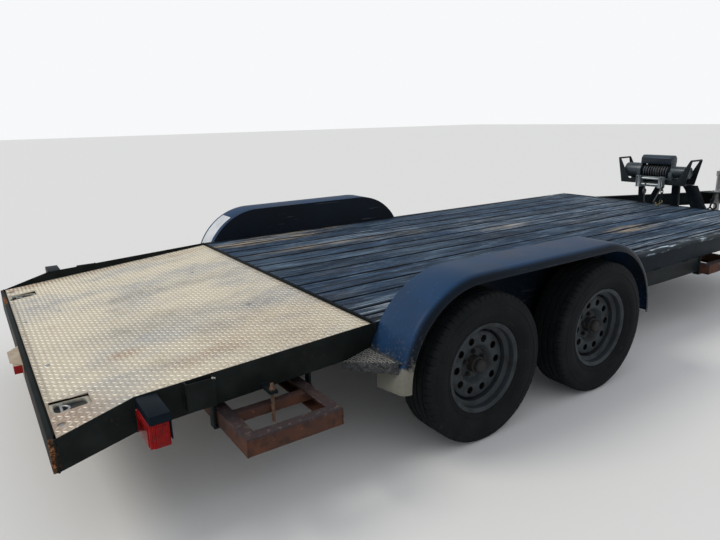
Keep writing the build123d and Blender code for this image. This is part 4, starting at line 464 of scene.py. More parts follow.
# A pale spot of bare weld on the stake pocket's upper edge, left after a repair: the bead's own
# grey steel, never painted, with a little rust in it.
def coat(name, under, *layers, rough=0.5, roughen=0.0, metal=0.0, gloss=0.5, grain=None):
    """A finish of one colour under layers of dust, rust or wear, each one given as to spread. The
    first layer adds roughen to the roughness. grain is the bump: the scale and detail of its
    clouds, its depth in metres and its strength."""
    made = Finish(name, under, rough, metal, gloss)
    first, *_ = [made.spread(*layer) for layer in layers]
    if roughen:
        made.feed(Roughness=first * roughen + rough)
    if grain:
        scale, detail, depth, strength = grain
        made.bump(made.clouds(scale, detail), depth, strength)
    return made


bare_weld = coat("bare_weld", (0.42, 0.42, 0.40), ((0.2, 0.14, 0.09), 1, 180, 4, 0.45, 0.7),
                 rough=0.55, metal=0.35, grain=(420, 2, 0.0008, 0.6))
weld("pocket_spot", [[at(-1570, -1075, 544), at(-1562, -1075, 541)]], 0.003, 0.0036, 3, bare_weld)

# Deck planks: full-length softwood boards of uneven width, long out of any oil. The sun and the
# rain have silvered them, raised the grain and rounded their edges. Their blue cast is painted sky
# light, the tan patches on a few boards are painted sunlight, the pale streaks are painted sky
# reflection and the near-black along each board's edges is painted shade of the gaps.
PLANK_GAPS = (7.0, 13.0, 8.0, 13.0, 12.0, 8.0, 14.0, 8.0, 11.0, 12.0, 7.0, 10.0, 6.0)
PLANK_WIDTHS = (182.0, 183.0, 155.0, 155.0, 161.0, 142.0, 174.0, 185.0, 185.0, 158.0, 162.0, 95.0, 57.0)
PLANK_REAR_X = -828.0
PLANK_FRONT_X = 3143.0
PLANK_BOTTOM = 542.0
PLANK_STATIONS = 150
PLANK_ACROSS = (0, 0.012, 0.035, 0.08, 0.3, 0.5, 0.7, 0.92, 0.965, 0.988, 1)
DECK_HALF = 997.0
EDGE_WEAR = 3.4
EDGE_REACH = 7.0
DEEPEST_WEAR = 7.5
PLANK_SCALE = 2 * DECK_HALF / sum(PLANK_WIDTHS)
planks, left = [], DECK_HALF
for width, gap in zip(PLANK_WIDTHS, PLANK_GAPS):
    planks.append((left, width, gap))
    left -= width * PLANK_SCALE


def ring_faces(rings, count, first=0, closed=True):
    """Faces between rings of count points each and, where closed, from the last to the first."""
    faces = []
    for ring in range(rings if closed else rings - 1):
        here, there = first + ring * count, first + (ring + 1) % rings * count
        for i in range(count):
            j = (i + 1) % count
            faces.append((here + i, there + i, there + j, here + j))
    return faces


def plank_mesh():
    """Boards side by side, each with a cupped face, worn edges and chipped ends."""
    points, faces, shades, ends = [], [], [], []
    dice = random.Random(11)
    ring, count = len(PLANK_ACROSS) + 2, PLANK_STATIONS + 1
    for left, width, gap in planks:
        high, low = left - gap / 2, left - width * PLANK_SCALE + gap / 2
        shade, seed = dice.random(), dice.random() * 90
        cup = dice.uniform(-0.5, 1.4)
        first = len(points)
        for step in range(count):
            x = PLANK_REAR_X + (PLANK_FRONT_X - PLANK_REAR_X) * step / PLANK_STATIONS
            end_in = {0: 2.0, PLANK_STATIONS: -2.0}.get(step, 0.0)
            for place in PLANK_ACROSS:
                y = low + (high - low) * place
                from_edge = min(place, 1 - place) * (high - low)
                worn = EDGE_WEAR * (1.2 + noise(Vector((x / 60, seed + (3 if place < 0.5 else 9), 0))))
                drop = worn * max(0.0, 1 - from_edge / EDGE_REACH) ** 1.6
                drop += max(0.0, cup) * (1 - (2 * place - 1) ** 2)
                drop += 0.5 * (1 + noise(Vector((x / 35, y / 22, seed))))
                edge_in = 0.9 * noise(Vector((x / 45, seed, place * 4))) if from_edge < 1 else 0.0
                points.append(at(x + end_in * (1 + noise(Vector((y / 8, seed, x)))), y + edge_in,
                                 DECK_TOP - min(drop, DEEPEST_WEAR)))
                # How near the point lies to the board's edge; it carries the painted shade of the gaps.
                ends.append(min(1.0, max(0.0, 1 - from_edge / 12.0)))
            points += [at(x, y, PLANK_BOTTOM + 0.2) for y in (high, low)]
            ends += [1.0, 1.0]
        shades += [shade] * (count * ring)
        faces += ring_faces(count, ring, first, closed=False)
        faces.append(tuple(first + i for i in range(ring)))
        faces.append(tuple(first + PLANK_STATIONS * ring + i for i in reversed(range(ring))))
    return skin("planks", points, faces, crease=40, outward=True, shade=shades, worn=ends)


WOOD_DARK = (0.0085, 0.0115, 0.0165)
WOOD_GREY = (0.056, 0.088, 0.130)
WOOD_BLUE = (0.020, 0.048, 0.097)
WOOD_SUNLIT = (0.42, 0.335, 0.235)
WOOD_GLARE = (0.44, 0.51, 0.58)
SUNLIT_PLACES = ((1222, 120, 200, 70, 0.7), (1895, -535, 260, 75, 0.75), (-200, 460, 430, 52, 0.5),
              (-470, 840, 460, 75, 0.9), (-120, 975, 420, 42, 0.8))
SKY_GLARE_PLACES = ((1950, -975, 900, 60), (2750, -800, 420, 120), (2320, 20, 560, 280), (-560, -890, 260, 90),
               (1650, -860, 460, 60), (2900, 560, 240, 420), (-300, 930, 500, 60), (1300, 300, 380, 220),
               (1222, 120, 340, 100), (300, 500, 520, 160), (2504, -604, 460, 110), (-720, -960, 160, 60))
wood = Finish("weathered_plank", WOOD_GREY, gloss=0.08)
grain = wood.clouds(46, 7, stretch=(0.035, 1.6, 1), rough=0.62)
fine = wood.clouds(170, 4, (5, 2, 1), (0.03, 1.5, 1), rough=0.7)
drift = wood.clouds(2.3, 5, (2, 8, 4), (0.5, 1.6, 1))
mottle = wood.clouds(6.5, 6, (6, 3, 2), (0.6, 2.2, 1), rough=0.66)
# The blue cast of these layers is painted sky light over the boards' grey; the darker layers are their own
# grain and tone.
for colour, amount in (
        (WOOD_BLUE, drift.rise(0.38, 0.60)),
        ((0.128, 0.196, 0.275), mottle.rise(0.51, 0.68) * 0.8),
        (WOOD_DARK, mottle.rise(0.50, 0.34) * 0.6),
        (WOOD_DARK, (wood.mark("shade") * 0.45 + drift * 0.6).rise(0.42, 0.95)),
        (WOOD_DARK, grain.rise(0.46, 0.62) * 0.9),
        ((0.24, 0.305, 0.385), fine.rise(0.52, 0.68) * 0.6),
        ((0.17, 0.165, 0.15), drift.rise(0.58, 0.74) * fine.rise(0.42, 0.62) * 0.5)):
    wood.lay(colour, amount)
# Tan patches of painted sunlight across a few boards.
for x, y, reach, half, amount in SUNLIT_PLACES:
    place = wood.patch((x, y, DECK_TOP - 2), (reach, half, 100), 0.55)
    streak = wood.clouds(40, 6, (4, x / 100, 1), (0.10, 1.1, 1)).rise(0.42, 0.58)
    wood.lay(WOOD_SUNLIT, place * streak * amount)
# Pale blue streaks of painted sky reflection.
for x, y, reach, half in SKY_GLARE_PLACES:
    place = wood.patch((x, y, DECK_TOP - 2), (reach, half, 100), 0.6)
    streak = wood.clouds(58, 5, (x / 100, 3, 1), (0.05, 1.2, 1)).rise(0.50, 0.68)
    wood.lay(WOOD_GLARE, place * streak * 0.78)
# Near-black along each board's edges and sides, by the worn mark: painted shade of the gaps between boards.
wood.lay((0.005, 0.006, 0.008), wood.mark("worn").rise(0.24, 0.78) * 0.93)
splits = wood.clouds(34, 3, (9, 4, 1), (0.02, 1.5, 1)).rise(0.665, 0.70)
wood.lay((0.008, 0.008, 0.009), splits * 0.85)
wood.feed(Roughness=grain * 0.16 + 0.66)
wood.bump(grain * 0.5 + fine * 0.35 - splits * 1.2, 0.0016, 0.85)
add("deck_planks_finished", plank_mesh(), wood, instead=("deck_planks",))

# Deck screws: self-drilling screws through each board into the cross members, their flat heads
# pulled a little under the grain. Most have gone rusty.
SCREW_HEAD = 0.0055
SCREW_DEPTH = 2.0
SCREW_THICKNESS = 0.0016
SCREW_CROSS = (0.0045, 0.0012, 0.0004)
SCREW_LEAN = 0.05
SCREW_LINES = [-806.0] + [2334 + index * 432 for index in range(-7, 2)]
NARROW_PLANK = 100
screw_points = []
for left, width, gap in planks:
    middle = left - width * PLANK_SCALE / 2
    apart = 0 if width < NARROW_PLANK else width * 0.28
    screw_points += [at(x, y, DECK_TOP - SCREW_DEPTH) for x in SCREW_LINES
                     for y in {middle - apart, middle + apart}]


def screws(given):
    """A flat ten-sided head with a cross on it at every point."""
    start = given["Geometry"]
    head = start.node("GeometryNodeMeshCylinder", inputs={
        "Vertices": 10, "Radius": given["Radius"], "Depth": SCREW_THICKNESS}, output="Mesh")
    cross = start.node("GeometryNodeMeshCube", inputs={"Size": SCREW_CROSS}, output="Mesh")
    cross = start.node("GeometryNodeTransform", inputs={"Geometry": cross, "Translation": (0, 0, 0.0009)})
    both = start.node("GeometryNodeJoinGeometry", inputs={"Geometry": [cross, head]})
    turn = start.node("FunctionNodeRandomValue", {"data_type": "FLOAT_VECTOR"},
                      {"Min": (-SCREW_LEAN, -SCREW_LEAN, 0), "Max": (SCREW_LEAN, SCREW_LEAN, 3.1),
                       "Seed": given["Seed"]}, output="Value")
    turn = start.node("FunctionNodeEulerToRotation", inputs={"Euler": turn})
    return start.node("GeometryNodeInstanceOnPoints", inputs={
        "Points": start, "Instance": both, "Rotation": turn})


rusty_steel = coat("rusty_fastener", RUST_DARK, ((0.16, 0.12, 0.10), 1, 90, 4, 0.45, 0.65),
                   rough=0.8, metal=0.15, grain=(500, 3, 0.0004, 0.7))
screw_mesh = grow("deck_screws", {"Radius": SCREW_HEAD, "Seed": 5}, screws, rusty_steel,
                  skin("screw_points", screw_points))
add("deck_screws", screw_mesh, rusty_steel)

# The dovetail's tread plate: hot-rolled steel with raised lugs, laid between the bent rails and
# welded down. It has lost its paint; dust and dried mud fill the ground between the lugs, whose
# tops are rubbed bright, and rust stains spread from a few places.
PLATE_REAR_X = -2072.0
PLATE_FRONT_X = -838.0
PLATE_HALF = 1035.0
PLATE_RISE, PLATE_RUN = 106, 1243
PAN_PLACE = (-1998.0, 812.0)
PLUG_PLACE = (-2045.0, 947.0)
LUG_PITCH = 20.6
LUG_REAR_MARGIN, LUG_FRONT_MARGIN, LUG_SIDE_MARGIN = 10, 6, 10
PAN_CLEAR, PLUG_CLEAR = (77, 57), 24
LUG_HEIGHT = 1.9
LUG_OUTLINE = ((12, 0), (7.5, 2.7), (0, 4), (-7.5, 2.7), (-12, 0), (-7.5, -2.7), (0, -4), (7.5, -2.7))
STEEL_WARM = (0.80, 0.705, 0.53)
STEEL_COOL = (0.43, 0.43, 0.425)
STEEL_DUST = (0.33, 0.30, 0.25)
STEEL_MUD = (0.40, 0.33, 0.225)
STEEL_GRIT = (0.20, 0.175, 0.15)
STEEL_BRIGHT = (0.86, 0.80, 0.66)
STEEL_SEAM = (0.16, 0.12, 0.085)
STEEL_SMUDGE = (0.19, 0.19, 0.195)
STAIN_RED = (0.27, 0.125, 0.055)
STAIN_TAN = (0.36, 0.235, 0.14)
STAIN_PLACES = ((-1742, -517, 66, 46, 0.55), (-1549, -787, 95, 60, 0.35), (-1110, -650, 330, 200, 0.22),
                (-1379, -764, 90, 70, 0.35), (-2010, -905, 110, 130, 0.55), (-1650, 985, 420, 40, 0.45),
                (-1060, 940, 260, 45, 0.4), (-1120, -900, 120, 100, 0.25), (-1975, 985, 110, 50, 0.6))
SMUDGE_PLACES = ((-1345, -531, 110, 90), (-1118, -382, 140, 80), (-1560, -250, 330, 120),
                 (-1300, 250, 420, 70))


def plate_z(x):
    return 461 + (x + 2080) * PLATE_RISE / PLATE_RUN


def worn_steel(name, rubbed):
    """Dusty bare steel; rubbed is how far the dust is gone from the surface."""
    steel = Finish(name, STEEL_WARM, metal=0.2)
    steel.spread(STEEL_COOL, 0.85, 1.9, 6, 0.42, 0.66, (4, 1, 0), (1, 1.8, 1))
    mud = steel.clouds(5.5, 7, (7, 2, 3), rough=0.65).rise(0.50, 0.78)
    grit = steel.clouds(75, 4, (1, 2, 9)).rise(0.50, 0.80)
    rust = steel.tint(STAIN_RED, STAIN_TAN, steel.clouds(40, 4).rise(0.4, 0.62))
    if not rubbed:
        steel.lay(STEEL_DUST, 0.42)
    steel.lay(STEEL_MUD, mud * (0.62 - rubbed * 0.4))
    steel.lay(STEEL_GRIT, grit * (0.55 - rubbed * 0.45))
    for x in (PLATE_REAR_X, PLATE_FRONT_X):
        steel.lay(STEEL_SEAM, steel.patch((x, 0, plate_z(x)), (28, 1200, 50), 0.5) * 0.45)
    for x, y, along, across, amount in STAIN_PLACES:
        stain = steel.patch((x, y, plate_z(x)), (along, across, 60), 0.75)
        steel.lay(rust, stain * amount * (1 - 0.35 * rubbed))
    for x, y, along, across in SMUDGE_PLACES:
        smudge = steel.patch((x, y, plate_z(x)), (along, across, 60), 0.8)
        steel.lay(STEEL_SMUDGE, smudge * 0.42)
    if rubbed:
        steel.spread(STEEL_BRIGHT, rubbed, 16, 4, 0.28, 0.60, (2, 2, 2))
    steel.feed(Roughness=mud * 0.2 + (0.52 - 0.16 * rubbed))
    steel.bump(grit * 0.6 + steel.clouds(380, 3) * 0.4, 0.0006, 0.6)
    return steel


plate_finish = worn_steel("tread_plate_ground", 0.0)
lug_finish = worn_steel("tread_plate_lugs", 0.6)
eased("tread_plate", plate_finish, 0.0006)
lug_points = [(x / 1000, y / 1000, -0.0003) for x, y in LUG_OUTLINE]
lug_points += [(x * 0.74 / 1000, y * 0.45 / 1000, LUG_HEIGHT / 1000) for x, y in LUG_OUTLINE]
lug_faces = [(i, (i + 1) % 8, 8 + (i + 1) % 8, 8 + i) for i in range(8)] + [tuple(range(8, 16))]
lug = bpy.data.objects.new("lug_pattern", skin("lug", lug_points, lug_faces))


def lugs(given):
    """A lug on every point, turned by the point's own angle; then the whole field is tilted."""
    field = given["Geometry"]
    turn = field.node("GeometryNodeInputNamedAttribute", {"data_type": "FLOAT"}, {"Name": "turn"},
                      output="Attribute")
    spin = field.node("ShaderNodeCombineXYZ", inputs={"Z": turn})
    spin = field.node("FunctionNodeEulerToRotation", inputs={"Euler": spin})
    shape = field.node("GeometryNodeObjectInfo", inputs={"Object": given["Lug"]}, output="Geometry")
    field = field.node("GeometryNodeInstanceOnPoints", inputs={
        "Points": field, "Instance": shape, "Rotation": spin, "Scale": given["Scale"]})
    tilt = field.node("ShaderNodeCombineXYZ", inputs={"Y": given["Slope"]})
    tilt = field.node("FunctionNodeEulerToRotation", inputs={"Euler": tilt})
    place = field.node("ShaderNodeCombineXYZ", inputs={"X": given["Place X"], "Z": given["Place Z"]})
    return field.node("GeometryNodeTransform", inputs={
        "Geometry": field, "Rotation": tilt, "Translation": place})


def lug_field(name, places, scale, slope, low, finish):
    """Lugs at places given by their row, column, run up the slope and distance to the side."""
    points = [(run / 1000, y / 1000, 0.0) for row, column, run, y in places]
    turns = [radians(45 if (row + column) % 2 else -45) for row, column, run, y in places]
    sizes = {"Lug": lug, "Scale": scale, "Slope": -slope, "Place X": low.x, "Place Z": low.z}
    return grow(name, sizes, lugs, finish, skin("lug_points", points, turn=turns))


def plate_lug_places():
    """Staggered rows over the plate, clear of the pans, the plug holes and the margins."""
    places = []
    slope = hypot(1, PLATE_RISE / PLATE_RUN)
    length = PLATE_FRONT_X - PLATE_REAR_X - (LUG_REAR_MARGIN + LUG_FRONT_MARGIN)
    rows = int(length * slope / LUG_PITCH)
    half_columns = int((PLATE_HALF - LUG_SIDE_MARGIN) / LUG_PITCH)
    for row in range(rows + 1):
        run = LUG_REAR_MARGIN + row * LUG_PITCH
        x = PLATE_REAR_X + run / slope
        for column in range(-half_columns, half_columns + 1):
            y = column * LUG_PITCH
            in_pan = (abs(x - PAN_PLACE[0]) < PAN_CLEAR[0]
                      and abs(abs(y) - PAN_PLACE[1]) < PAN_CLEAR[1])
            if not in_pan and hypot(x - PLUG_PLACE[0], abs(y) - PLUG_PLACE[1]) >= PLUG_CLEAR:
                places.append((row, column, run, y))
    return places


field_mesh = lug_field("plate_lugs", plate_lug_places(), 1.0, atan(PLATE_RISE / PLATE_RUN),
                       at(PLATE_REAR_X, 0, plate_z(PLATE_REAR_X)), lug_finish)
add("plate_lugs", smooth(field_mesh, 50), lug_finish)

# Round-headed bolts that hold the plate to the cross members, worn nearly flush, and two sheet
# plugs pressed into the round holes at its rear corners. Both are zinc-plated and dull.
PLATE_BOLTS = ((-2038, 279), (-2020, -386), (-1117, -367), (-1880, 330), (-1135, 420))
BOLT_DOME = ((0, 0.0036), (0.004, 0.0034), (0.008, 0.0026), (0.0115, 0.0012), (0.013, -0.0005),
             (0, -0.0005))
PLUG_CAP = ((0, -0.0026), (0.0112, -0.0026), (0.0126, -0.0032), (0.0126, -0.0046), (0, -0.0046))
PLATE_NORMAL = (-0.085, 0, 1)
ZINC = (0.36, 0.365, 0.37)
ZINC_BLOOM = (0.48, 0.48, 0.47)
GRIME = (0.07, 0.058, 0.046)
RUST_RED = (0.22, 0.09, 0.035)


def spun(name, profile, centre, outward, segments=48):
    """Turns (radius, distance) points about a line through centre that points outward."""
    axis = Vector(outward).normalized()
    side = axis.orthogonal().normalized()
    other = axis.cross(side)
    points = []
    for step in range(segments):
        angle = 2 * pi * step / segments
        radial = side * cos(angle) + other * sin(angle)
        points += [centre + radial * r + axis * d for r, d in profile]
    return skin(name, points, ring_faces(segments, len(profile)), crease=34, outward=True, weld=1e-6)


def joined(name, meshes):
    """One mesh from several."""
    shape = bmesh.new()
    for mesh in meshes:
        shape.from_mesh(mesh)
    whole = poured(shape, bpy.data.meshes.new(name))
    whole.set_sharp_from_angle(angle=radians(34))
    return whole


def zinc_plate(name, dirt, tone=ZINC):
    """Dull zinc plating with white bloom, grime in patches and a little rust."""
    zinc = Finish(name, tone, metal=0.75)
    bloom = zinc.spread(ZINC_BLOOM, 0.6, 30, 5, 0.45, 0.75)
    grime = zinc.clouds(14, 6, (3, 5, 1)).rise(0.42, 0.72) * dirt
    zinc.lay(GRIME, grime)
    zinc.spread(RUST_RED, 0.8, 70, 5, 0.66, 0.73, (8, 1, 4))
    zinc.feed(Roughness=grime * 0.4 + bloom * 0.15 + 0.34)
    zinc.bump(zinc.clouds(300, 3), 0.0003, 0.5)
    return zinc


zinc_dull = zinc_plate("dull_zinc", 0.5)
plug_places = [(PLUG_PLACE[0], side * PLUG_PLACE[1]) for side in (-1, 1)]
for name, profile, places, segments in (("plate_bolts", BOLT_DOME, PLATE_BOLTS, 20),
                                        ("plate_plugs", PLUG_CAP, plug_places, 28)):
    heads = [spun(name, profile, at(x, y, plate_z(x)), PLATE_NORMAL, segments) for x, y in places]
    add(name, joined(name, heads), zinc_dull)

# Tie-down pans: pressed steel trays let into the plate, each with a level flange, a deep bowl
# with rounded ends and two ears. The forged ring lies in the bowl and swings up for a strap.
PAN_LENGTH, PAN_WIDTH, PAN_DEPTH = 131.4, 91.4, 22.0
PAN_TOP = plate_z(PAN_PLACE[0] - 66) - 1.0
PAN_LEVELS = (("rim", 0, 0, -PAN_DEPTH), ("rim", 0, 0, -0.8), ("rim", 0.8, 0.8, 0), ("bowl", 57, 41.5, 0),
              ("bowl", 55.5, 40, -1.2), ("bowl", 54, 38.8, -8), ("bowl", 51, 36, -15),
              ("bowl", 44, 30, -18.6), ("bowl", 30, 20, -19))
PAN_POINTS = 56
BOWL_SQUARENESS = 4.5
RING_X = PAN_PLACE[0] - 30


def pan_mesh(side):
    """Flange, wall and floor as rings that go from the pan's oblong rim to its rounded bowl."""
    centre = at(PAN_PLACE[0], side * PAN_PLACE[1], PAN_TOP)
    points, faces, count = [], [], PAN_POINTS
    for kind, a, b, z in PAN_LEVELS:
        for i in range(count):
            angle = 2 * pi * (i + 0.5) / count
            c, s = cos(angle), sin(angle)
            if kind == "rim":
                reach = 1 / max(abs(c) / (PAN_LENGTH / 2 - a), abs(s) / (PAN_WIDTH / 2 - b))
            else:
                power = BOWL_SQUARENESS
                reach = (abs(c / a) ** power + abs(s / b) ** power) ** (-1 / power)
            points.append(centre + Vector((reach * c, reach * s, z)) / 1000)
    for level in range(0, (len(PAN_LEVELS) - 1) * count, count):
        for i in range(count):
            j = (i + 1) % count
            faces.append((level + i, level + j, level + count + j, level + count + i))
    faces.append(tuple(range(len(points) - count, len(points))))
    faces.append(tuple(reversed(range(count))))
    return skin("pan", points, faces, crease=36)


def block(one, other, radius):
    """A block between two opposite corners with its edges rounded."""
    low, high = [min(pair) for pair in zip(one, other)], [max(pair) for pair in zip(one, other)]
    shape = bmesh.new()
    bmesh.ops.create_cube(shape, size=1)
    for vertex in shape.verts:
        vertex.co = Vector([high[i] if vertex.co[i] > 0 else low[i] for i in range(3)])
    round_edges(shape, shape.edges[:], radius, 3)
    return smooth(poured(shape, bpy.data.meshes.new("block")), 40)


pan_parts, shadow_strips = [], []
for side in (-1, 1):
    x, y = PAN_PLACE[0], side * PAN_PLACE[1]
    pan_parts.append(pan_mesh(side))
    for end in (-1, 1):
        pan_parts.append(block(at(RING_X - 10, y + end * 32.6, PAN_TOP - 19),
                               at(RING_X + 10, y + end * 39.2, PAN_TOP - 2), 0.0022))
    # A thin near-black block along each pan's inboard edge: painted shadow in the gap there.
    shadow_strips.append(block(at(x - 64, y - side * 50, PAN_TOP - 4),
                       at(x + 72, y - side * 45, PAN_TOP + 6.5), 0.0006))
pan_steel = coat("pan_steel", (0.46, 0.40, 0.30), ((0.22, 0.27, 0.26), 1, 55, 5, 0.38, 0.66),
                 ((0.30, 0.17, 0.09), 0.7, 80, 5, 0.56, 0.70, (5, 1, 1)),
                 rough=0.6, gloss=0.3, grain=(300, 4, 0.0006, 0.6))
# The bowl darkens with depth: painted shade in the hollow.
depth = pan_steel.axis("Z").rise((PAN_TOP - 2.0) / 1000, (PAN_TOP - 13.0) / 1000)
pan_steel.lay((0.022, 0.026, 0.027), depth * 0.92)
add("tie_pans_finished", joined("tie_pans", pan_parts), pan_steel,
    instead=("tie_pans",))
# Near-black for the painted shadow strips beside the pans.
pan_gap_shadow = Finish("pan_gap_shadow", (0.010, 0.008, 0.007), 0.95, gloss=0.0)
pan_gap_shadow.lay((0.032, 0.020, 0.013), pan_gap_shadow.clouds(90, 4))
add("pan_slits", joined("pan_slits", shadow_strips), pan_gap_shadow)
for side in ("right", "left"):
    eased("tie_ring_" + side, zinc_dull, 0, "tie_ring_" + side)

# Fenders: one tandem fender over each pair of wheels, rolled from sheet with a turned-in lip and
# painted gloss black once. The crown has dulled; its blue-grey on the upward faces is a painted sky
# reflection, the blue on the rear-facing curve a painted sheen and the darker sides painted shade.
# Road dust and mud cling to the lower rear end.
FENDER_BLACK = (0.0075, 0.0125, 0.0215)
FENDER_BLUE = (0.010, 0.036, 0.086)
FENDER_CROWN_SHEEN = (0.016, 0.050, 0.116)
FENDER_SHEEN = (0.016, 0.052, 0.130)
FENDER_FLANK_SHADE = (0.0035, 0.0065, 0.0110)
FENDER_MUD = (0.19, 0.185, 0.150)
FENDER_SPLASH = (0.14, 0.125, 0.10)
FENDER_SCRATCH = (0.10, 0.115, 0.135)
fender_paint = Finish("fender_paint", FENDER_BLACK, gloss=0.10)
haze = fender_paint.clouds(4.2, 6, (1, 4, 2))
# Upward faces take the crown tone, a painted sky reflection; the same mask makes them rougher.
dull_crown_and_sheen = fender_paint.facing("Z").rise(0.25, 0.98) * (0.35 + haze * 0.5)
# A painted blue sheen on the rear-facing curves of the fenders' rear halves.
sheen = fender_paint.facing("X").rise(-0.25, -0.9)
sheen = sheen * fender_paint.axis("X").rise(AXLE_MIDDLE_X - 0.3, AXLE_MIDDLE_X - 0.5)
# Faces that turn sideways are darkened: painted shade on the fenders' sides.
sideways = fender_paint.facing("Y")
flank_shade = sideways.above(0 - sideways).rise(0.35, 0.85)
lower = (fender_paint.axis("Z") + fender_paint.clouds(22, 6, (2, 1, 1)) * 0.20 - 0.10).rise(0.49, 0.40)
behind = fender_paint.axis("X").rise(-0.72 + AXLE_MIDDLE_X, -0.84 + AXLE_MIDDLE_X)
mud = lower * behind * (fender_paint.clouds(60, 6, (2, 1, 1)) * 0.7 + 0.45)
splash = fender_paint.axis("Z").rise(0.66, 0.40) * fender_paint.clouds(90, 6, (5, 5, 2)).rise(0.52, 0.68)
scratches = fender_paint.clouds(70, 3, stretch=(0.06, 1, 1), turn=(0, 0.4, 0.3)).rise(0.67, 0.71)
for colour, amount in ((FENDER_BLUE, haze.rise(0.30, 0.66)), (FENDER_CROWN_SHEEN, dull_crown_and_sheen * 0.85),
                       (FENDER_SHEEN, sheen * (haze * 0.6 + 0.35)), (FENDER_FLANK_SHADE, flank_shade * 0.92),
                       (FENDER_MUD, mud.rise(0.10, 0.60) * 0.92), (FENDER_SPLASH, splash * 0.5),
                       (FENDER_SCRATCH, scratches * 0.35)):
    fender_paint.lay(colour, amount)
fender_paint.feed(Roughness=dull_crown_and_sheen * 0.22 + mud.rise(0.15, 0.72) * 0.4 + haze * 0.12 + 0.27)
fender_paint.bump(fender_paint.clouds(7, 3) * 1.2 + fender_paint.clouds(420, 2) * 0.06, 0.0012, 0.35)
for side in ("right", "left"):
    eased("fender_" + side, fender_paint, 0.0011)

# The licence plate: thin white-painted aluminium, blank, bent round the left fender's rear curve
# and held flat against it. A raised border runs round it.
CURVE_MIDDLE = (-401.0, 360.0)
CURVE_RADIUS = 421.6
TAG_ARC = (21.0, 61.5)
TAG_SIDE = (1078.0, 1230.0)
TAG_LENGTH, TAG_WIDTH = 305, 152
TAG_COLUMNS, TAG_ROWS = 44, 22
BORDER_HEIGHT, BORDER_IN, BORDER_WIDTH = 1.1, 7, 2.4
TAG_WAVES = 0.6


def tag_mesh():
    """Bent sheet with rounded corners and a raised border, given a wall afterwards."""
    points, faces = [], []
    for i in range(TAG_COLUMNS + 1):
        u = i / TAG_COLUMNS
        for j in range(TAG_ROWS + 1):
            v = j / TAG_ROWS
            near = min(u * TAG_LENGTH, (1 - u) * TAG_LENGTH, v * TAG_WIDTH, (1 - v) * TAG_WIDTH)
            ridge = BORDER_HEIGHT * exp(-((near - BORDER_IN) / BORDER_WIDTH) ** 2)
            angle = radians(TAG_ARC[0] + (TAG_ARC[1] - TAG_ARC[0]) * u)
            radius = CURVE_RADIUS + 1.0 + ridge + TAG_WAVES * noise(Vector((u * 5, v * 3, 2)))
            y = TAG_SIDE[0] + (TAG_SIDE[1] - TAG_SIDE[0]) * v
            points.append(at(CURVE_MIDDLE[0] - radius * cos(angle), y,
                             CURVE_MIDDLE[1] + radius * sin(angle)))
    for i in range(TAG_COLUMNS):
        for j in range(TAG_ROWS):
            if i not in (0, TAG_COLUMNS - 1) or j not in (0, TAG_ROWS - 1):
                a = i * (TAG_ROWS + 1) + j
                faces.append((a, a + TAG_ROWS + 1, a + TAG_ROWS + 2, a + 1))
    return skin("tag", points, faces)


def walled(mesh, thickness):
    """Gives an open sheet a wall of even thickness on its back."""
    carrier = stood("sheet", mesh)
    wall = carrier.modifiers.new("wall", "SOLIDIFY")
    wall.thickness = thickness
    wall.offset = -1
    return smooth(settled(carrier), 40)


tag_paint = coat("tag_white", (0.66, 0.68, 0.70), ((0.46, 0.49, 0.53), 1, 9, 5, 0.4, 0.75),
                 ((0.24, 0.22, 0.19), 0.6, 60, 5, 0.60, 0.78),
                 rough=0.35, roughen=0.2, grain=(30, 2, 0.0004, 0.4))
add("licence_tag", walled(tag_mesh(), 0.001), tag_paint)

# Side steps: a triangle of small-patterned tread plate behind each fender, its long edge folded
# down, welded to the rail and the fender. The ground between its lugs keeps dusty black paint;
# the lugs themselves are rubbed halfway to bare steel.
STEP_DARK = (0.022, 0.026, 0.032)
STEP_TIP_X, STEP_LOW = -1011.6, 441
STEP_LEFT_AHEAD = 55.0
STEP_LENGTH, STEP_WIDTH, STEP_RISE = 150, 220, 35
STEP_PITCH, STEP_ROWS, STEP_COLUMNS = 10.5, 14, 22
STEP_ROOT_Y = 1041
STEP_LUG_SCALE = 0.52


def step_finish(name, bare):
    """Chipped paint over dusty steel; bare is how far it is rubbed away."""
    layers = [((0.085, 0.085, 0.080), 0.7, 48, 6, 0.34, 0.68),
              ((0.21, 0.20, 0.175), 0.5, 130, 5, 0.54, 0.68, (4, 4, 4))]
    if bare:
        layers.append(((0.46, 0.44, 0.38), bare, 70, 4, 0.30, 0.52, (1, 6, 2)))
    return coat(name, STEP_DARK, *layers, rough=0.75, gloss=0.25, grain=(260, 4, 0.0006, 0.7))


step_paint = step_finish("step_paint", 0.0)
step_rubbed = step_finish("step_lug_paint", 0.6)
eased("side_steps", step_paint, 0.0008)
step_fields = []
for side, ahead in ((-1, 0.0), (1, STEP_LEFT_AHEAD)):
    places = []
    for row in range(1, STEP_ROWS + 1):
        for column in range(STEP_COLUMNS):
            run, reach = row * STEP_PITCH, STEP_ROOT_Y + 4.0 + column * STEP_PITCH
            if reach - STEP_ROOT_Y < (run - 7) * STEP_WIDTH / STEP_LENGTH and run < STEP_LENGTH - 4:
                places.append((row, column, run, side * reach))
    step_fields.append(lug_field("step_lugs", places, STEP_LUG_SCALE, atan(STEP_RISE / STEP_LENGTH),
                                 at(STEP_TIP_X + ahead, 0, STEP_LOW), step_rubbed))
add("step_lugs", joined("step_lugs", step_fields), step_rubbed)
bpy.data.objects.remove(lug)

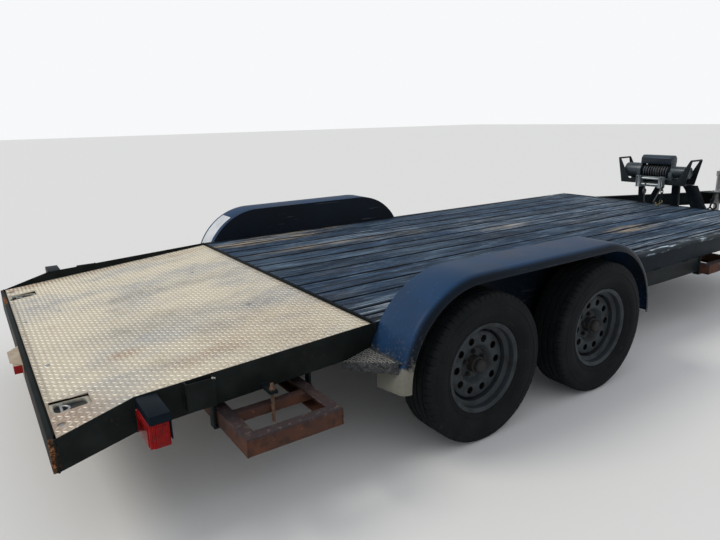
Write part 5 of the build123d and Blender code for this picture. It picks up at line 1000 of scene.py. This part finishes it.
# Tyres: 15 inch trailer tyres with four main grooves, zigzag ribs and sipes across the
# shoulders. The rubber is dull and grey-brown with road dust on the walls.
TREAD_RADIUS = 344.0
TREAD_PITCHES = 64
GROOVE_DEPTH = 7.5
SIPE_DEPTH = 5.5
ZIGZAG = (1.6, 0.0, -1.6, 0.0, 1.6)
RUBBER = (0.0052, 0.0068, 0.0078)
TYRE_WALL = ((190.3, 66.4), (200, 68.5), (208.6, 74.4), (213, 80.5), (219, 84.8), (224.5, 87.0),
             (226, 89.6), (230.5, 90.4), (233, 89.6), (241, 95.2), (254, 100.4), (267, 102.3),
             (281, 101.6), (291, 99.9), (293, 101.2), (299.5, 100.4), (301, 98.6), (312, 96.8),
             (321, 94.6))
TYRE_SHOULDER = ((329.5, 92.6), (334.5, 90.0), (339.5, 86.2), (342.5, 81.0), (343.4, 74.0), (343.6, 66.0))
TYRE_EDGE = (343.7, 58.5)
TREAD_COLUMNS = ((57.5, 0), (56.5, 1), (49.5, 1), (48.5, 0), (22.5, 0), (21.5, 1), (14.5, 1), (13.5, 0))
TYRE_INSIDE = ((192, -50), (230, -72), (267, -88), (300, -84), (328, -66), (331, 0), (328, 66), (300, 84),
               (267, 88), (230, 72), (192, 50))


def tyre_mesh(centre, outward):
    """Closed skin from bead to bead. Columns across the tread sink into grooves and sipes."""
    half = [(r, z, "wall") for r, z in TYRE_WALL] + [(r, z, "shoulder") for r, z in TYRE_SHOULDER]
    half.append((*TYRE_EDGE, "plain"))
    half += [(TREAD_RADIUS - GROOVE_DEPTH * sunk, z, "tread") for z, sunk in TREAD_COLUMNS]
    profile = half + [(r, -z, kind) for r, z, kind in reversed(half)]
    profile += [(r, z, "inside") for r, z in TYRE_INSIDE]
    axis = Vector(outward)
    points = []
    fractions = (0.0, 0.42, 0.84, 0.87, 0.955)
    stations = [(pitch + f, k) for pitch in range(TREAD_PITCHES) for k, f in enumerate(fractions)]
    for station, k in stations:
        angle = 2 * pi * station / TREAD_PITCHES
        radial = Vector((cos(angle), 0, sin(angle)))
        for r, z, kind in profile:
            depth = SIPE_DEPTH if k == 3 and kind == "shoulder" else 0.0
            shift = ZIGZAG[k] if kind == "tread" else 0.0
            points.append(centre + radial * ((r - depth) / 1000) + axis * ((z + shift) / 1000))
    return skin("tyre", points, ring_faces(len(stations), len(profile)), crease=42, outward=True)


rubber = coat("dusty_rubber", RUBBER, ((0.0155, 0.0165, 0.0160), 0.7, 11, 6, 0.38, 0.78),
              ((0.070, 0.064, 0.054), 0.3, 55, 5, 0.60, 0.80, (3, 3, 3)),
              rough=0.74, roughen=0.12, gloss=0.12, grain=(330, 3, 0.0005, 0.5))
WHEELS = [(end, side) for end in ("front", "rear") for side in ("right", "left")]
for end, side in WHEELS:
    name = f"tyre_{end}_{side}"
    low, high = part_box(name)
    tyre = tyre_mesh((Vector(low) + Vector(high)) / 2, (0, -1 if side == "right" else 1, 0))
    add(name + "_finished", tyre, rubber, f"wheel_{end}_{side}", (name,))

# Rims and hubs: pressed steel wheels with ten round holes, painted dark silver and long faded,
# on cast brake drums with a grease cap. Five lug nuts hold each wheel.
rim_paint = coat("rim_paint", (0.029, 0.036, 0.042), ((0.018, 0.019, 0.018), 0.85, 17, 6, 0.36, 0.72),
                 ((0.060, 0.060, 0.051), 0.45, 80, 5, 0.58, 0.75, (1, 8, 2)),
                 rough=0.48, roughen=0.25, gloss=0.22, grain=(300, 3, 0.0004, 0.5))
iron = coat("hub_iron", (0.011, 0.012, 0.013), ((0.040, 0.028, 0.020), 0.6, 45, 6, 0.42, 0.68),
            rough=0.58, roughen=0.2, gloss=0.3, grain=(160, 5, 0.0008, 0.7))
AXLE_HALF = 419
WHEEL_HEIGHT = 344
HUB_FACE = 1206.5
LUG_NUTS, NUT_CIRCLE = 5, 56
VALVE_REACH = 158
NUT_PARTS = ((18, 0.98, 0.16, 0.08), (6, 0.86, 0.7, 0.48), (12, 0.42, 0.5, 1.0))


def fasteners(given):
    """Washer, six-sided nut and stud end, stood on every point along its own direction."""
    start = given["Geometry"]
    pieces = []
    for vertices, radius, depth, rise in NUT_PARTS:
        piece = start.node("GeometryNodeMeshCylinder", inputs={
            "Vertices": vertices, "Radius": given["Size"] * radius,
            "Depth": given["Size"] * depth}, output="Mesh")
        lift = start.node("ShaderNodeCombineXYZ", inputs={"Z": given["Size"] * rise})
        pieces.append(start.node("GeometryNodeTransform", inputs={"Geometry": piece, "Translation": lift}))
    whole = start.node("GeometryNodeJoinGeometry", inputs={"Geometry": pieces})
    facing = start.node("GeometryNodeInputNamedAttribute", {"data_type": "FLOAT_VECTOR"},
                        {"Name": "facing"}, output="Attribute")
    turn = start.node("FunctionNodeAlignRotationToVector", {"axis": "Z"}, {"Vector": facing})
    return start.node("GeometryNodeInstanceOnPoints", inputs={
        "Points": start, "Instance": whole, "Rotation": turn})


def bolted(name, places, size, finish, body="chassis"):
    """A fastener at every place; a place is a point and the direction that the fastener faces."""
    points = skin("fastener_points", [place for place, facing in places])
    directions = [value for place, facing in places for value in Vector(facing).normalized()]
    points.attributes.new("facing", "FLOAT_VECTOR", "POINT").data.foreach_set("vector", directions)
    add(name, grow(name, {"Size": size / 1000}, fasteners, finish, points), finish, body)


BARREL = ((208, 75), (190.4, 67), (190, 45), (172, 33), (172, -7), (190, -25), (190, -67), (208, -75),
          (207, -78), (203, -78.5), (188, -72.5), (186, -66), (186, -26.5), (168, -9), (168, 34.5),
          (186, 47), (186, 66), (188, 72.5), (196, 76.5), (203, 78.5), (207, 78))
DISC_INNER = ((42, 0), (71, 0), (80, 9), (89, 22), (96, 26))
DISC_OUTER = ((148, 26), (155, 23), (159, 15), (161, -2), (169, -4))
DISC_FLAT, DISC_THICKNESS = 26, 4
DISC_STEPS, HOLE_STEPS = 120, 24
HAND_HOLES, HOLE_REACH, HOLE_RADIUS = 10, 121, 17.5
VALVE = ((0.0, 0.0), (0.0052, 0.0), (0.0052, 0.016), (0.0036, 0.018), (0.0036, 0.030), (0.0045, 0.031),
         (0.0045, 0.040), (0.0, 0.041))


def disc_mesh(centre, outward):
    """Pressed wheel disc: raised flat ring with round hand holes and a seat in the middle."""
    axis = Vector(outward)
    across = Vector((1, 0, 0))
    up = axis.cross(across)
    shape = bmesh.new()

    def ring(radius, height, steps, middle=(0, 0)):
        turns = [2 * pi * i / steps for i in range(steps)]
        return [shape.verts.new(centre + (across * (middle[0] + radius * cos(t))
                                          + up * (middle[1] + radius * sin(t)) + axis * height) / 1000)
                for t in turns]

    def bridge(one, other):
        for i in range(len(one)):
            shape.faces.new((one[i], one[(i + 1) % len(one)], other[(i + 1) % len(one)], other[i]))

    turns = [2 * pi * i / HAND_HOLES for i in range(HAND_HOLES)]
    spots = [(HOLE_REACH * cos(t), HOLE_REACH * sin(t)) for t in turns]
    sides = []
    for drop in (0, -DISC_THICKNESS):
        inner, outer = ([ring(r, z + drop, DISC_STEPS) for r, z in front]
                        for front in (DISC_INNER, DISC_OUTER))
        holes = [ring(HOLE_RADIUS, DISC_FLAT + drop, HOLE_STEPS, spot) for spot in spots]
        for rings in (inner, outer):
            for one, other in zip(rings, rings[1:]):
                bridge(one, other)
        edges = []
        for loop in (inner[-1], outer[0], *holes):
            for pair in zip(loop, loop[1:] + loop[:1]):
                edges.append(shape.edges.get(pair) or shape.edges.new(pair))
        bmesh.ops.triangle_fill(shape, use_beauty=True, use_dissolve=False, edges=edges, normal=axis)
        sides.append((inner[0], outer[-1], *holes))
    for one, other in zip(*sides):
        bridge(one, other)
    bmesh.ops.recalc_face_normals(shape, faces=shape.faces)
    mesh = poured(shape, bpy.data.meshes.new("disc"))
    mesh.shade_smooth()
    return mesh


for end, side in WHEELS:
    body = f"wheel_{end}_{side}"
    s = -1 if side == "right" else 1
    x = AXLE_HALF if end == "front" else -AXLE_HALF
    middle = at(x, s * HUB_FACE, WHEEL_HEIGHT)
    barrel = spun("barrel", [(r / 1000, z / 1000) for r, z in BARREL], middle, (0, s, 0), 96)
    name = f"rim_{end}_{side}"
    rim = joined(name, [barrel, disc_mesh(middle, (0, s, 0))])
    add(name + "_finished", rim, rim_paint, body, (name,))
    eased(f"hub_{end}_{side}", iron, 0.0012, body)
    nuts = [(at(x + NUT_CIRCLE * cos(a), s * (HUB_FACE + 4), WHEEL_HEIGHT + NUT_CIRCLE * sin(a)), (0, s, 0))
            for a in [radians(90 + 360 / LUG_NUTS * i) for i in range(LUG_NUTS)]]
    bolted(f"lug_nuts_{end}_{side}", nuts, 13.0, iron, body=body)
    stem = spun("valve", VALVE, at(x - VALVE_REACH, s * (HUB_FACE - 20), WHEEL_HEIGHT), (0.35, s, 0), 14)
    add(f"valve_{end}_{side}", stem, rubber, body)

# Running gear: two drop axles on four-leaf springs, clamped with U-bolts, with hangers under the
# sub-rails and an equalizer between the springs. The steel was painted once and is mostly rusty.
axle_paint = frame_paint("axle_paint", 0.5, 0.95, rough=0.62)
for node in ("axle_front", "axle_rear"):
    eased(node, axle_paint, 0.0012)
leaf = coat("rusty_leaf", (0.045, 0.034, 0.029),
            ((0.135, 0.062, 0.031), 1, 36, 6, 0.36, 0.66, (0, 0, 0), (0.4, 1, 1)),
            ((0.20, 0.15, 0.11), 0.5, 120, 4, 0.62, 0.74),
            rough=0.8, metal=0.25, grain=(190, 5, 0.0008, 0.7))
for node in ("leaf_springs", "spring_clamps", "equalizers"):
    eased(node, leaf, 0.0006)
SPRING_LINE = 1016.0
SPRING_EYE = 323.0
ROCKER_PIN = 329.0
EYE_REACH = 739
NUT_FACE = 28.2
CLAMP_ALONG, CLAMP_OUT = 36.3, 28.3
shackle_nuts, clamp_nuts = [], []
clamp_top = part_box("spring_clamps")[1][2] - 0.0135
for side in (-1, 1):
    for out in (-1, 1):
        for x, z in ((-EYE_REACH, SPRING_EYE), (EYE_REACH, SPRING_EYE), (0, ROCKER_PIN)):
            shackle_nuts.append((at(x, side * SPRING_LINE + out * NUT_FACE, z), (0, out, 0)))
    for x in (-AXLE_HALF, AXLE_HALF):
        for along in (-CLAMP_ALONG, CLAMP_ALONG):
            for out in (-CLAMP_OUT, CLAMP_OUT):
                place = at(x + along, side * SPRING_LINE + out, 0)
                clamp_nuts.append((Vector((place.x, place.y, clamp_top)), (0, 0, 1)))
bolted("hanger_nuts", shackle_nuts, 7.0, rusty_steel)
bolted("clamp_nuts", clamp_nuts, 7.6, rusty_steel)

# Loading ramps: welded ladder ramps of channel with square tube rungs, pushed in from the right
# side on flat-bar stirrups. Red-brown primer, rusted where it is scraped. The darker blue-grey on
# top is painted sky-lit shade, flecked with painted highlights.
ramp_paint = coat("ramp_primer", (0.058, 0.024, 0.016),
                  ((0.100, 0.040, 0.022), 0.8, 6, 6, 0.36, 0.70, (0, 0, 0), (1, 0.5, 1)),
                  ((0.028, 0.017, 0.014), 0.8, 26, 6, 0.46, 0.68, (4, 2, 8)),
                  ((0.30, 0.115, 0.05), 0.7, 34, 6, 0.63, 0.72, (7, 7, 1)),
                  rough=0.64, roughen=0.15, gloss=0.2)
# The top faces: a darker blue-grey of painted sky-lit shade, then pale flecks of painted highlight.
top = ramp_paint.axis("Z").rise(0.385, 0.397)
ramp_paint.lay((0.029, 0.026, 0.031), top * 0.72)
ramp_paint.lay((0.15, 0.11, 0.095), top * ramp_paint.clouds(48, 5).rise(0.55, 0.70) * 0.6)
ramp_paint.bump(ramp_paint.clouds(210, 5) + ramp_paint.clouds(24, 4) * 0.6, 0.0008, 0.6)
RAMP_PLACES = (("ramp_rear", -1361.0, -1300.0), ("ramp_front", 2118.0, -1095.0))
RAMP_LENGTH, RAMP_RUNGS = 1524, 6
RUNG_FIRST, RUNG_WIDTH = 201, 38
RAMP_INNER, RAMP_OUTER = 183.5, 188
for body, x, outer in RAMP_PLACES:
    eased(body, ramp_paint, 0.0022, body, 3)
    seams = []
    for rung in range(RAMP_RUNGS):
        y = outer + RUNG_FIRST + rung * (RAMP_LENGTH - RUNG_FIRST - RUNG_WIDTH) / (RAMP_RUNGS - 1)
        for edge in (x - RAMP_INNER, x + RAMP_INNER):
            seams.append([at(edge, y + 2, 392), at(edge, y + 36, 392)])
            seams.append([at(edge, y + 1, 352), at(edge, y + 1, 388)])
    for edge in (x - RAMP_OUTER, x + RAMP_OUTER):
        seams.append([at(edge, outer - 0.5, 334), at(edge, outer - 0.5, 394)])
    weld(body + "_seams", seams, 0.0044, 0.0034, 4, ramp_paint, "ramp_rust", body)

# The drop pin that keeps the rear ramp in: round steel bar, dropped through a lug on the rail.
# Its plating is long gone and it is rusty brown all over.
pin_rust = coat("pin_rust", (0.075, 0.038, 0.022), ((0.17, 0.098, 0.06), 1, 60, 6, 0.38, 0.64),
                rough=0.85, metal=0.2, grain=(240, 5, 0.0008, 0.8))
eased("ramp_pin", pin_rust, 0.0012, "ramp_pin", 3)

# Tail lamps: square combination lamps under folded sheet hoods. Each has a moulded red lens to
# the rear and another to the side with fine upright ribs, over a black plastic case.
LENS_DEEP = (0.040, 0.001, 0.002)
LENS_RED = (0.23, 0.001, 0.002)
LENS_GLINT = (0.62, 0.03, 0.025)
LENS_DUST = (0.11, 0.022, 0.018)
RIB_PITCH = 0.0052
eased("lamp_hoods", frame_paint("hood_paint", 0.0, 0.1), 0.0016, steps=3)
case_plastic = coat("lamp_case", (0.012, 0.012, 0.013), ((0.05, 0.045, 0.04), 0.5, 40, 5, 0.48, 0.75),
                    grain=(500, 2, 0.0002, 0.4))


def red_lens(name, across):
    """Moulded red plastic: ribs across one axis, with painted shade of the bulb hollow in the middle."""
    lens_finish = Finish(name, LENS_RED, gloss=0.12)
    ribs = lens_finish.axis(across) * (2 * pi / RIB_PITCH)
    wave = ribs.math("SINE", ribs)
    film = lens_finish.clouds(21, 5, (2, 2, 6)).rise(0.55, 0.80)
    lens_finish.spread(LENS_DEEP, 0.62, 38, 4, 0.3, 0.72)
    lens_finish.lay(LENS_GLINT, wave.rise(0.55, 1.0) * 0.3)
    lens_finish.lay(LENS_DUST, film * 0.3)
    # Painted shade of the bulb hollow behind each lens.
    for side in (-1, 1):
        bulb_hollow_shade = lens_finish.patch((-1812, side * 1135, 456), (60, 48, 30), 0.3)
        lens_finish.lay(LENS_DEEP, bulb_hollow_shade * 0.8)
    lens_finish.feed(Roughness=film * 0.35 + 0.13)
    lens_finish.bump(wave, 0.0006, 0.6)
    return lens_finish


lens_side = red_lens("red_lens_side", "X")
lens_rear = red_lens("red_lens_rear", "Y")
for part, finish, slot, instead, blocks in (
        ("lamp_cases", case_plastic, "winch_black", ("tail_lamps",),
         [((-1803, 1052, 414), (-1763.2, 1194, 527.6), 0.0035)]),
        ("rear_lenses", lens_rear, "lamp_red", (),
         [((-1831.0, 1053, 413.5), (-1801, 1200.5, 500.5), 0.0035),
          ((-1834.0, 1061, 421), (-1829, 1192.5, 493), 0.0014)]),
        ("side_lenses", lens_side, "lamp_red", (),
         [((-1820, 1195, 415), (-1765, 1206.6, 500), 0.0035),
          ((-1812, 1205, 423), (-1773, 1208.6, 492), 0.0035)])):
    made = [block(at(x0, side * y0, z0), at(x1, side * y1, z1), radius)
            for side in (-1, 1) for (x0, y0, z0), (x1, y1, z1), radius in blocks]
    add(part, joined(part, made), finish, instead=instead)
lens_screws = [(at(-1830.8, side * 1057.5, z), (-1, 0, 0)) for side in (-1, 1) for z in (419, 495)]
bolted("lens_screws", lens_screws, 2.4, zinc_dull)

# The centre lamp's carrier: tapering folded sheet in a faded tan, with a small red lamp below.
# Its lens is one moulding of red plastic, ribbed as the tail lamps' are.
tan_paint = coat("tan_paint", (0.34, 0.265, 0.185), ((0.45, 0.375, 0.285), 0.8, 15, 6, 0.38, 0.70),
                 ((0.13, 0.075, 0.04), 0.8, 70, 5, 0.60, 0.72, (3, 1, 1)),
                 rough=0.7, grain=(300, 4, 0.0005, 0.6))
carrier_lamp = eased("centre_lamp", tan_paint, 0.0012)
carrier_lamp.data.materials.append(lens_rear.material)
lens_low, lens_high = at(-2133.5, -276, 0), at(-2101.2, -212, 450.6)
for face in carrier_lamp.data.polygons:
    middle = face.center
    if (lens_low.x < middle.x < lens_high.x and lens_low.y < middle.y < lens_high.y
            and middle.z < lens_high.z):
        face.material_index = 1

# Tongue: the two channels run together under a folded coupler with its latch lever. A jack of
# zinc-plated tube stands through the jack plate, its crank turned forwards.
JACK_X = 4345
JACK_BOLT_CIRCLE, JACK_PLATE_TOP = 52, 596
JACK_CRANK_REACH, GRIP_LENGTH = 165, 0.084
eased("coupler", frame_paint("coupler_paint", 0.4, 0.7), 0.0022, steps=3)
eased("coupler_latch", zinc_dull, 0.0010, "coupler_latch")
jack_zinc = zinc_plate("jack_zinc", 0.55, (0.30, 0.305, 0.31))
for node, body in (("jack_tube", "chassis"), ("jack_leg", "jack_leg"), ("jack_crank", "chassis")):
    eased(node, jack_zinc, 0.0014, body)
jack_bolts = [(at(JACK_X + JACK_BOLT_CIRCLE * cos(a), JACK_BOLT_CIRCLE * sin(a), JACK_PLATE_TOP), (0, 0, 1))
              for a in (radians(30), radians(150), radians(270))]
bolted("jack_bolts", jack_bolts, 8.0, zinc_dull)
grip_rubber = coat("grip_rubber", (0.014, 0.014, 0.015), ((0.06, 0.055, 0.05), 0.5, 60, 4, 0.5, 0.75),
                   rough=0.7, grain=(420, 2, 0.0003, 0.5))
GRIP_LOW, GRIP_HIGH, GRIP_PITCH = 0.0121, 0.0136, 0.0074
grip = [(GRIP_LOW, 0.0)]
for ring in range(10):
    low_edge = 0.004 + ring * GRIP_PITCH
    grip += [(GRIP_LOW, low_edge), (GRIP_HIGH, low_edge + 0.0015), (GRIP_HIGH, low_edge + 0.0045),
             (GRIP_LOW, low_edge + 0.006)]
grip += [(GRIP_LOW, 0.0815), (0.0095, 0.0835), (0.0, 0.0838), (0.0, 0.0)]
crank_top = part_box("jack_crank")[1][2]
grip_foot = Vector((at(JACK_X + JACK_CRANK_REACH, 0, 0).x, 0, crank_top - GRIP_LENGTH))
add("jack_grip", spun("jack_grip", grip, grip_foot, (0, 0, 1), 28), grip_rubber)

# Winch: a drum between a motor and a gear housing, on a folded tray over the deck's front edge.
# Legs and handle arms are satin black plate, the end housings grey enamel.
winch_black = Finish("winch_black", (0.006, 0.009, 0.012), gloss=0.2)
dust = winch_black.facing("Z").rise(0.2, 0.95) * 0.5 + winch_black.clouds(16, 6).rise(0.46, 0.78) * 0.4
winch_black.lay((0.036, 0.041, 0.046), dust * 0.4)
winch_black.spread((0.10, 0.115, 0.125), 0.45, 75, 5, 0.64, 0.72, (1, 1, 5))
winch_black.feed(Roughness=dust * 0.3 + 0.38)
winch_black.bump(winch_black.clouds(330, 3), 0.0004, 0.5)
BRACE_LINE = ((-228, 776), (-352, 776), (-448, 580.2), (-310, 580.2))
eased("winch_stand", winch_black, 0.0012)
brace = skin("winch_brace", [at(x, y, z) for x in (3172, 3178) for y, z in BRACE_LINE],
             [(0, 1, 2, 3), (7, 6, 5, 4)] + [(i, i + 4, (i + 1) % 4 + 4, (i + 1) % 4) for i in range(4)])
shield = block(at(3182, -131, 926), at(3186, 131, 955), 0.0008)
add("winch_shield", shield, winch_black)
add("winch_brace", rounded(brace, 0.0012), winch_black)
enamel = coat("grey_enamel", (0.040, 0.054, 0.066), ((0.085, 0.105, 0.115), 0.5, 19, 6, 0.42, 0.75),
              ((0.035, 0.035, 0.035), 0.6, 55, 5, 0.60, 0.72, (6, 1, 1)),
              rough=0.33, roughen=0.3, metal=0.25, grain=(260, 3, 0.0004, 0.5))
eased("winch_body", enamel, 0.0016, steps=3)
WINCH_X, WINCH_Z = 3135.0, 885.0
WINCH_END = 290.2
BANDS, BAND_FIRST, BAND_PITCH = 5, 176, 17
rings, end_bolts = [], []
for side, radius, circle in ((-1, 50.0, 38.0), (1, 66.0, 52.0)):
    low, high = radius / 1000 - 0.0005, radius / 1000 + 0.0022
    band = ((low, -0.002), (high, -0.0016), (high, 0.0016), (low, 0.002))
    for step in range(BANDS):
        middle = at(WINCH_X, side * (BAND_FIRST + step * BAND_PITCH), WINCH_Z)
        rings.append(spun("band", band, middle, (0, side, 0), 64))
    for angle in [radians(30 + 60 * turn) for turn in range(6)]:
        place = at(WINCH_X + circle * cos(angle), side * WINCH_END, WINCH_Z + circle * sin(angle))
        end_bolts.append((place, (0, side, 0)))
add("winch_bands", joined("winch_bands", rings), enamel)
bolted("winch_bolts", end_bolts, 4.2, zinc_dull)

# The rope on the drum: galvanised wire rope wound in two layers, the upper one open. A spiral
# from Geometry Nodes is swept with the rope's round section.
ROPE_RADIUS = 4.2
ROPE_LAYERS = ((29, 52.0, 248.0), (10, 59.5, 232.0))


def windings(given):
    """A level spiral of rope, laid on its side along the drum."""
    spiral = given["Geometry"].node("GeometryNodeCurveSpiral", inputs={
        "Resolution": 26, "Rotations": given["Turns"], "Start Radius": given["Radius"],
        "End Radius": given["Radius"], "Height": given["Length"]})
    ring = spiral.node("GeometryNodeCurvePrimitiveCircle", {"mode": "RADIUS"},
                       {"Resolution": 8, "Radius": given["Rope"]})
    rope = spiral.node("GeometryNodeCurveToMesh", inputs={
        "Curve": spiral, "Profile Curve": ring, "Fill Caps": True})
    turn = spiral.node("FunctionNodeEulerToRotation", inputs={"Euler": (pi / 2, 0, 0)})
    place = spiral.node("ShaderNodeCombineXYZ", inputs={
        "X": given["Place X"], "Y": given["Length"] / 2, "Z": given["Place Z"]})
    return spiral.node("GeometryNodeTransform", inputs={
        "Geometry": rope, "Rotation": turn, "Translation": place})


rope_steel = Finish("wire_rope", (0.045, 0.046, 0.048), metal=0.55)
strand = rope_steel.clouds(240, 3, stretch=(1, 2.5, 1), turn=(0.6, 0.5, 0))
rope_steel.lay((0.21, 0.215, 0.22), strand.rise(0.42, 0.62))
rope_steel.spread((0.085, 0.05, 0.03), 0.6, 22, 5, 0.52, 0.72)
rope_steel.bump(strand, 0.0008, 0.9)
eased("winch_drum", frame_paint("drum_paint", 0.2, 0.4, rough=0.55), 0.0008, "winch_drum")
drum = at(WINCH_X, 0, WINCH_Z)
layers = []
for turns, radius, length in ROPE_LAYERS:
    rope_sizes = {"Turns": float(turns), "Radius": (radius - 4) / 1000, "Length": length / 1000,
                  "Rope": ROPE_RADIUS / 1000, "Place X": drum.x, "Place Z": drum.z}
    layers.append(grow("rope_layer", rope_sizes, windings, rope_steel))
rope_mesh = joined("rope_windings", layers)
rope_mesh.shade_smooth()
add("rope_windings", rope_mesh, rope_steel, "winch_drum")

# The winch's control box: moulded blue-black plastic over the drum. Its cover meets its base
# along a dark seam, and two clips on top, towards the deck, hold it shut.
box_plastic = Finish("box_plastic", (0.007, 0.015, 0.026), gloss=0.35)
# The upward faces turn lighter and bluer: a painted sky sheen, which also roughens them as weathered
# plastic.
haze = box_plastic.facing("Z").rise(0.3, 0.98) * 0.75 + box_plastic.clouds(14, 5).rise(0.4, 0.8) * 0.25
box_plastic.lay((0.030, 0.058, 0.088), haze * 0.85)
box_plastic.spread((0.13, 0.13, 0.12), 0.4, 55, 6, 0.62, 0.78, (2, 5, 1))
box_plastic.feed(Roughness=haze * 0.2 + 0.32)
box_plastic.bump(box_plastic.clouds(520, 2), 0.0002, 0.4)
eased("winch_box", box_plastic, 0.0045, steps=3)
seam_parts = [block(at(3082.2, -140.8, 976), at(3187.8, 140.8, 980), 0.0008)]
seam_parts += [block(at(3085, y - 2, 1006), at(3109, y + 2, 1012.5), 0.0012) for y in (-105, 105)]
add("box_seam", joined("box_seam", seam_parts), case_plastic)

# Fairlead: two upright and two level rollers in a zinc-plated frame, bolted to the tray's edge
# towards the deck. The wire rope's end is drawn up to it.
fair_zinc = zinc_plate("fairlead_zinc", 0.45, (0.34, 0.38, 0.39))
eased("fairlead", fair_zinc, 0.0010)
fairlead_bolts = [(at(3040.8, side * 112, z), (-1, 0, 0)) for side in (-1, 1) for z in (768, 826)]
bolted("fairlead_bolts", fairlead_bolts, 3.4, zinc_dull)
eased("winch_hook", rope_steel, 0.0004)

# The rope's end: short black chain and a bent hook with its eye in yellow chromate, hanging below
# the fairlead. A bent bar with a ring and a tie stands at the deck's front right corner.
HOOK_X, HOOK_Y = 3008, -128
CHAIN_LINKS = (744, 718, 692, 666, 640)
BAR_LINE = ((-456, 584), (-470, 592), (-480, 620), (-486, 662), (-490, 690), (-500, 712), (-512, 716))


def tube(name, runs, radius, closed=False):
    """Round bar along each run of points."""
    curve = bpy.data.curves.new(name, "CURVE")
    curve.dimensions = "3D"
    curve.bevel_depth = radius / 1000
    curve.bevel_resolution = 3
    curve.use_fill_caps = True
    for run in runs:
        spline = curve.splines.new("POLY")
        spline.points.add(len(run) - 1)
        for point, place in zip(spline.points, run):
            point.co = (*place, 1)
        spline.use_cyclic_u = closed
    mesh = settled(stood(name, curve))
    mesh.shade_smooth()
    return mesh


def arc(centre, radius, start, stop, across=(0, 1, 0), steps=16, squash=1.0):
    """Points on an upright arc, in millimetres and degrees from the level direction across."""
    centre, across, up = Vector(centre), Vector(across), Vector((0, 0, 1))
    turns = [radians(start + (stop - start) * i / steps) for i in range(steps + 1)]
    return [at(*(centre + across * radius * squash * cos(t) + up * radius * sin(t)))
            for t in turns]


links = [arc((HOOK_X, HOOK_Y, z), 17, 0, 345, (0, 1, 0) if index % 2 else (1, 0, 0), 23, 0.6)
         for index, z in enumerate(CHAIN_LINKS)]
add("hook_chain", tube("hook_chain", links, 4.2, True), winch_black)
yellow = coat("yellow_chromate", (0.33, 0.30, 0.15), ((0.12, 0.11, 0.07), 1, 60, 5, 0.42, 0.66),
              rough=0.45, metal=0.55, grain=(200, 3, 0.0004, 0.5))
hook_line = [at(HOOK_X, HOOK_Y, 628), at(3012, -120, 616), at(3016, -108, 607)]
hook_line += arc((3018, -93, 608), 18, 200, 390, steps=14)
add("hook_forging", tube("hook_forging", [hook_line], 6.6), yellow)
eye = tube("hook_eye", [arc((HOOK_X, HOOK_Y, 628), 11, 0, 345, steps=20)], 5.0, True)
add("hook_eye", eye, yellow)
bar_parts = [tube("corner_bar", [[at(3180, y, z) for y, z in BAR_LINE]], 6.0),
             tube("corner_ring", [arc((3180, -500, 612), 25, 0, 345, steps=28)], 6.5, True),
             tube("corner_tie", [arc((3180, -480, 655), 14, 0, 345, steps=20, squash=0.7)], 4.0, True)]
add("corner_bar", joined("corner_bar", bar_parts), winch_black)
